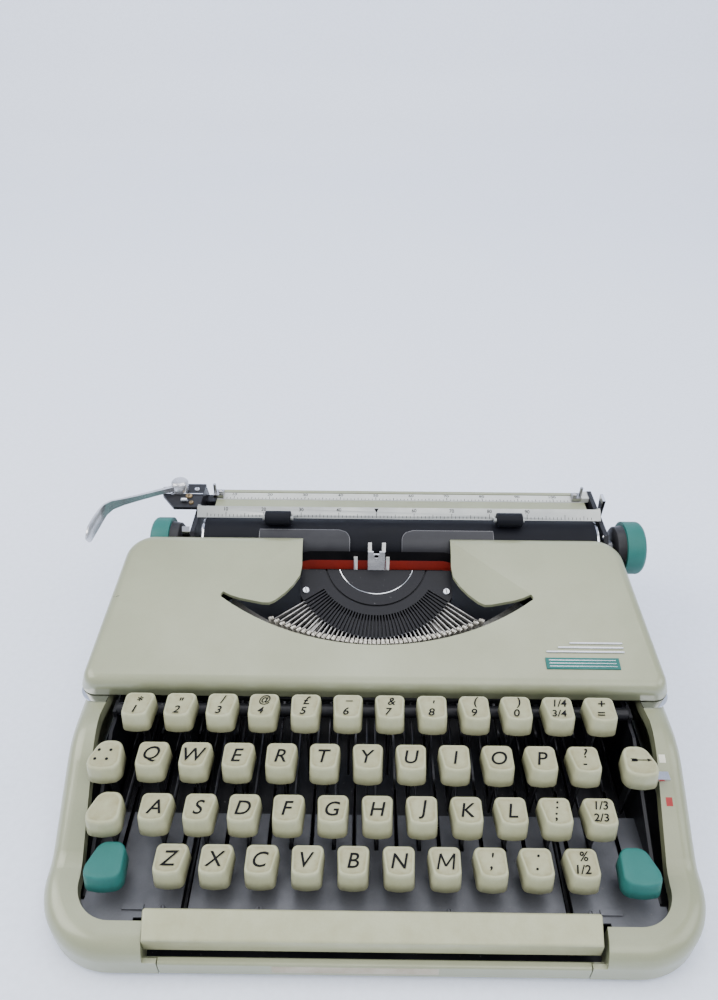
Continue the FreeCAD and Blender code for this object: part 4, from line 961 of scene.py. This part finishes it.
def build_badge():
    """Plain trim on the cover: three chrome bars and a ribbed green plate, with no mark of any kind."""
    def on_cover(x, y, lift):
        return Vector((x * MM, y * MM, cover_z(y) + lift * MM))

    bar_end, bar_step, bar_radius = 122.0, 2.4, 0.5
    bm = bmesh.new()
    for row, bar_start in enumerate((97.0, 91.0, 85.0)):
        y = -3.4 - bar_step * row
        for x, fillet in ((bar_start, -1), (bar_end, 1)):
            tip = [on_cover(x + fillet * dx, y, 0.45) for dx in (0.0, 0.3, 0.45)]
            tube(bm, tip, bar_radius * 0.7 * MM, 0, 8)
        tube(bm, [on_cover(bar_start, y, 0.45), on_cover(bar_end, y, 0.45)], bar_radius * MM, 0, 8)
    new_object("cover_ornament", bm, [CHROME], "cover", ())

    plate_left, plate_right, plate_front, plate_back = 83.5, 118.9, -17.4, -11.6
    bm = bmesh.new()
    ring = [on_cover(x, y, 0.62) for x, y in ((plate_left, plate_front), (plate_right, plate_front),
                                              (plate_right, plate_back), (plate_left, plate_back))]
    low = [bm.verts.new(p - Vector((0, 0, 0.6 * MM))) for p in ring]
    top = [bm.verts.new(p) for p in ring]
    bm.faces.new(top).material_index = 1
    for k in range(4):
        j = (k + 1) % 4
        bm.faces.new((low[k], low[j], top[j], top[k])).material_index = 1
    rib_inset, rib_radius = 1.6, 0.2
    for y in (-16.1, -14.5, -12.9):
        tube(bm, [on_cover(plate_left + rib_inset, y, 0.62), on_cover(plate_right - rib_inset, y, 0.62)],
             rib_radius * MM, 0, 6)
    new_object("cover_plate", bm, [CHROME, GREEN], "cover", (), recalc=False)


def build_selector_marks():
    """White and red marks of the ribbon selector on the right rail."""
    bm = bmesh.new()
    for x, y, mat in ((131.4, -54.0, 0), (131.9, -69.8, 1)):
        ring = []
        for dx, dy in ((-1.5, -1.6), (1.4, -1.6), (1.4, 1.6), (-1.5, 1.6)):
            hit, normal = surface_point("lower_case", (x + dx) * MM, (y + dy) * MM)
            ring.append(hit + normal * 0.09 * MM)
        bm.faces.new([bm.verts.new(p) for p in ring]).material_index = mat
    new_object("selector_marks", bm, [MARKWHITE, MARKRED], "frame", (), recalc=False)


def build_front_label():
    """Blank label on the front strip."""
    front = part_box("lower_case")[0].y / MM
    bm = bmesh.new()
    cuboid(bm, (-40.0, front - 0.12, 5.4), (27.0, front + 0.3, 10.6), 0)
    new_object("front_label", bm, [LABEL], "frame", ())


def build_cover_chip():
    """Hairline mark in the paint of the cover."""
    bm = bmesh.new()
    crack = [(-135.5, 21.0), (-133.4, 21.6), (-131.8, 21.2), (-130.4, 21.7)]
    for (xa, ya), (xb, yb) in zip(crack[:-1], crack[1:]):
        corners = ((xa, ya - 0.12), (xb, yb - 0.12), (xb, yb + 0.16), (xa, ya + 0.16))
        hits = [surface_point("top_cover", x * MM, y * MM) for x, y in corners]
        if all(hit is not None for hit, _ in hits):
            bm.faces.new([bm.verts.new(hit + normal * 0.05 * MM) for hit, normal in hits])
    new_object("cover_chip", bm, [INK], "cover", (), recalc=False)


def build_plate_fittings():
    """Pressed ridges and screws on the keyboard plate."""
    bm = bmesh.new()
    for x in (-100.0, 100.0):
        cuboid(bm, (x - 4.5, -110.2, 13.3), (x + 4.5, -107.8, 14.4), 0)
    for x in (-88.0, -47.0, 33.0, 92.0):
        disc(bm, Vector((x, -109.6, 13.4)) * MM, 1.6 * MM, (0, 0, 1), 0.8 * MM, 0, 18, 1)
    new_object("plate_fittings", bm, [SATIN, BLACK], "frame", ())


build_keys()
build_bar_arms()
build_basket()
build_ribbon()
build_card_guides()
build_platen()
build_bail()
build_scales()
build_return_lever()
build_carriage_detail()
build_badge()
build_selector_marks()
build_front_label()
build_cover_chip()
build_plate_fittings()

# ---------------------------------------------------------------- stage, light, camera


def build_stage():
    """Pale table that runs up into a plain wall."""
    mat = surface("table_top", (0.80, 0.855, 0.985), (0.83, 0.88, 0.99), 0.55, scale=2.0, fine=300.0,
                  bumps=0.03)
    bm = bmesh.new()
    profile = [(-3.0, 0.0), (0.9, 0.0), (1.1, 0.012), (1.25, 0.06), (1.33, 0.16), (1.36, 0.4), (1.36, 2.6)]
    rows = [[bm.verts.new((x, y, z)) for x in (-4.0, -1.3, 1.3, 4.0)] for y, z in profile]
    for a, b in zip(rows[:-1], rows[1:]):
        for k in range(3):
            bm.faces.new((a[k], a[k + 1], b[k + 1], b[k]))
    mesh = bpy.data.meshes.new("backdrop")
    bm.to_mesh(mesh)
    for p in mesh.polygons:
        p.use_smooth = True
    obj = bpy.data.objects.new("backdrop", mesh)
    bpy.context.scene.collection.objects.link(obj)
    paint(obj, mat)


def area_light(name, where, target, size, watts, colour=(1, 1, 1)):
    data = bpy.data.lights.new(name, "AREA")
    data.shape = "RECTANGLE"
    data.size, data.size_y = size
    data.energy = watts
    data.color = colour
    obj = bpy.data.objects.new(name, data)
    obj.location = where
    obj.rotation_mode = "QUATERNION"
    obj.rotation_quaternion = (Vector(target) - Vector(where)).to_track_quat("-Z", "Y")
    bpy.context.scene.collection.objects.link(obj)


def build_lights():
    world = bpy.data.worlds.new("room")
    world.use_nodes = True
    world.node_tree.nodes["Background"].inputs["Color"].default_value = (0.84, 0.89, 1.0, 1)
    world.node_tree.nodes["Background"].inputs["Strength"].default_value = 0.95
    bpy.context.scene.world = world
    area_light("window", (-1.25, -0.05, 1.15), (0, 0, 0.03), (1.1, 1.1), 22.0, (1.0, 0.99, 0.97))
    area_light("ceiling", (0.2, 0.15, 1.7), (0, 0, 0.03), (1.6, 1.2), 13.0, (0.98, 0.98, 1.0))
    area_light("front_fill", (0.45, -1.0, 1.5), (0, 0, 0.04), (1.2, 0.9), 12.0, (1.0, 1.0, 1.0))
    area_light("side_fill", (1.3, -0.25, 0.9), (0.1, 0, 0.03), (0.9, 0.9), 9.0, (0.95, 0.97, 1.0))
    area_light("wall_wash", (0.1, 0.55, 1.5), (0.1, 1.35, 0.6), (1.6, 0.6), 8.0, (0.98, 0.97, 1.0))


def build_camera():
    """Camera above the typist's side, looking down on the keys."""
    pitch, yaw, roll = (math.radians(v) for v in (36.56, -0.43, 0.30))
    forward = Vector((math.sin(yaw) * math.cos(pitch), math.cos(yaw) * math.cos(pitch), -math.sin(pitch)))
    right = Vector((math.cos(yaw), -math.sin(yaw), 0.0))
    up = right.cross(forward)
    right_rolled = right * math.cos(roll) + up * math.sin(roll)
    up_rolled = -right * math.sin(roll) + up * math.cos(roll)
    data = bpy.data.cameras.new("camera")
    data.sensor_width = 36.0
    data.lens = 27.36
    data.clip_start = 0.01
    obj = bpy.data.objects.new("camera", data)
    turn = Matrix((right_rolled, up_rolled, -forward)).transposed().to_4x4()
    obj.matrix_world = Matrix.Translation((-0.005, -0.2622, 0.3408)) @ turn
    bpy.context.scene.collection.objects.link(obj)
    bpy.context.scene.camera = obj


build_stage()
build_lights()
build_camera()
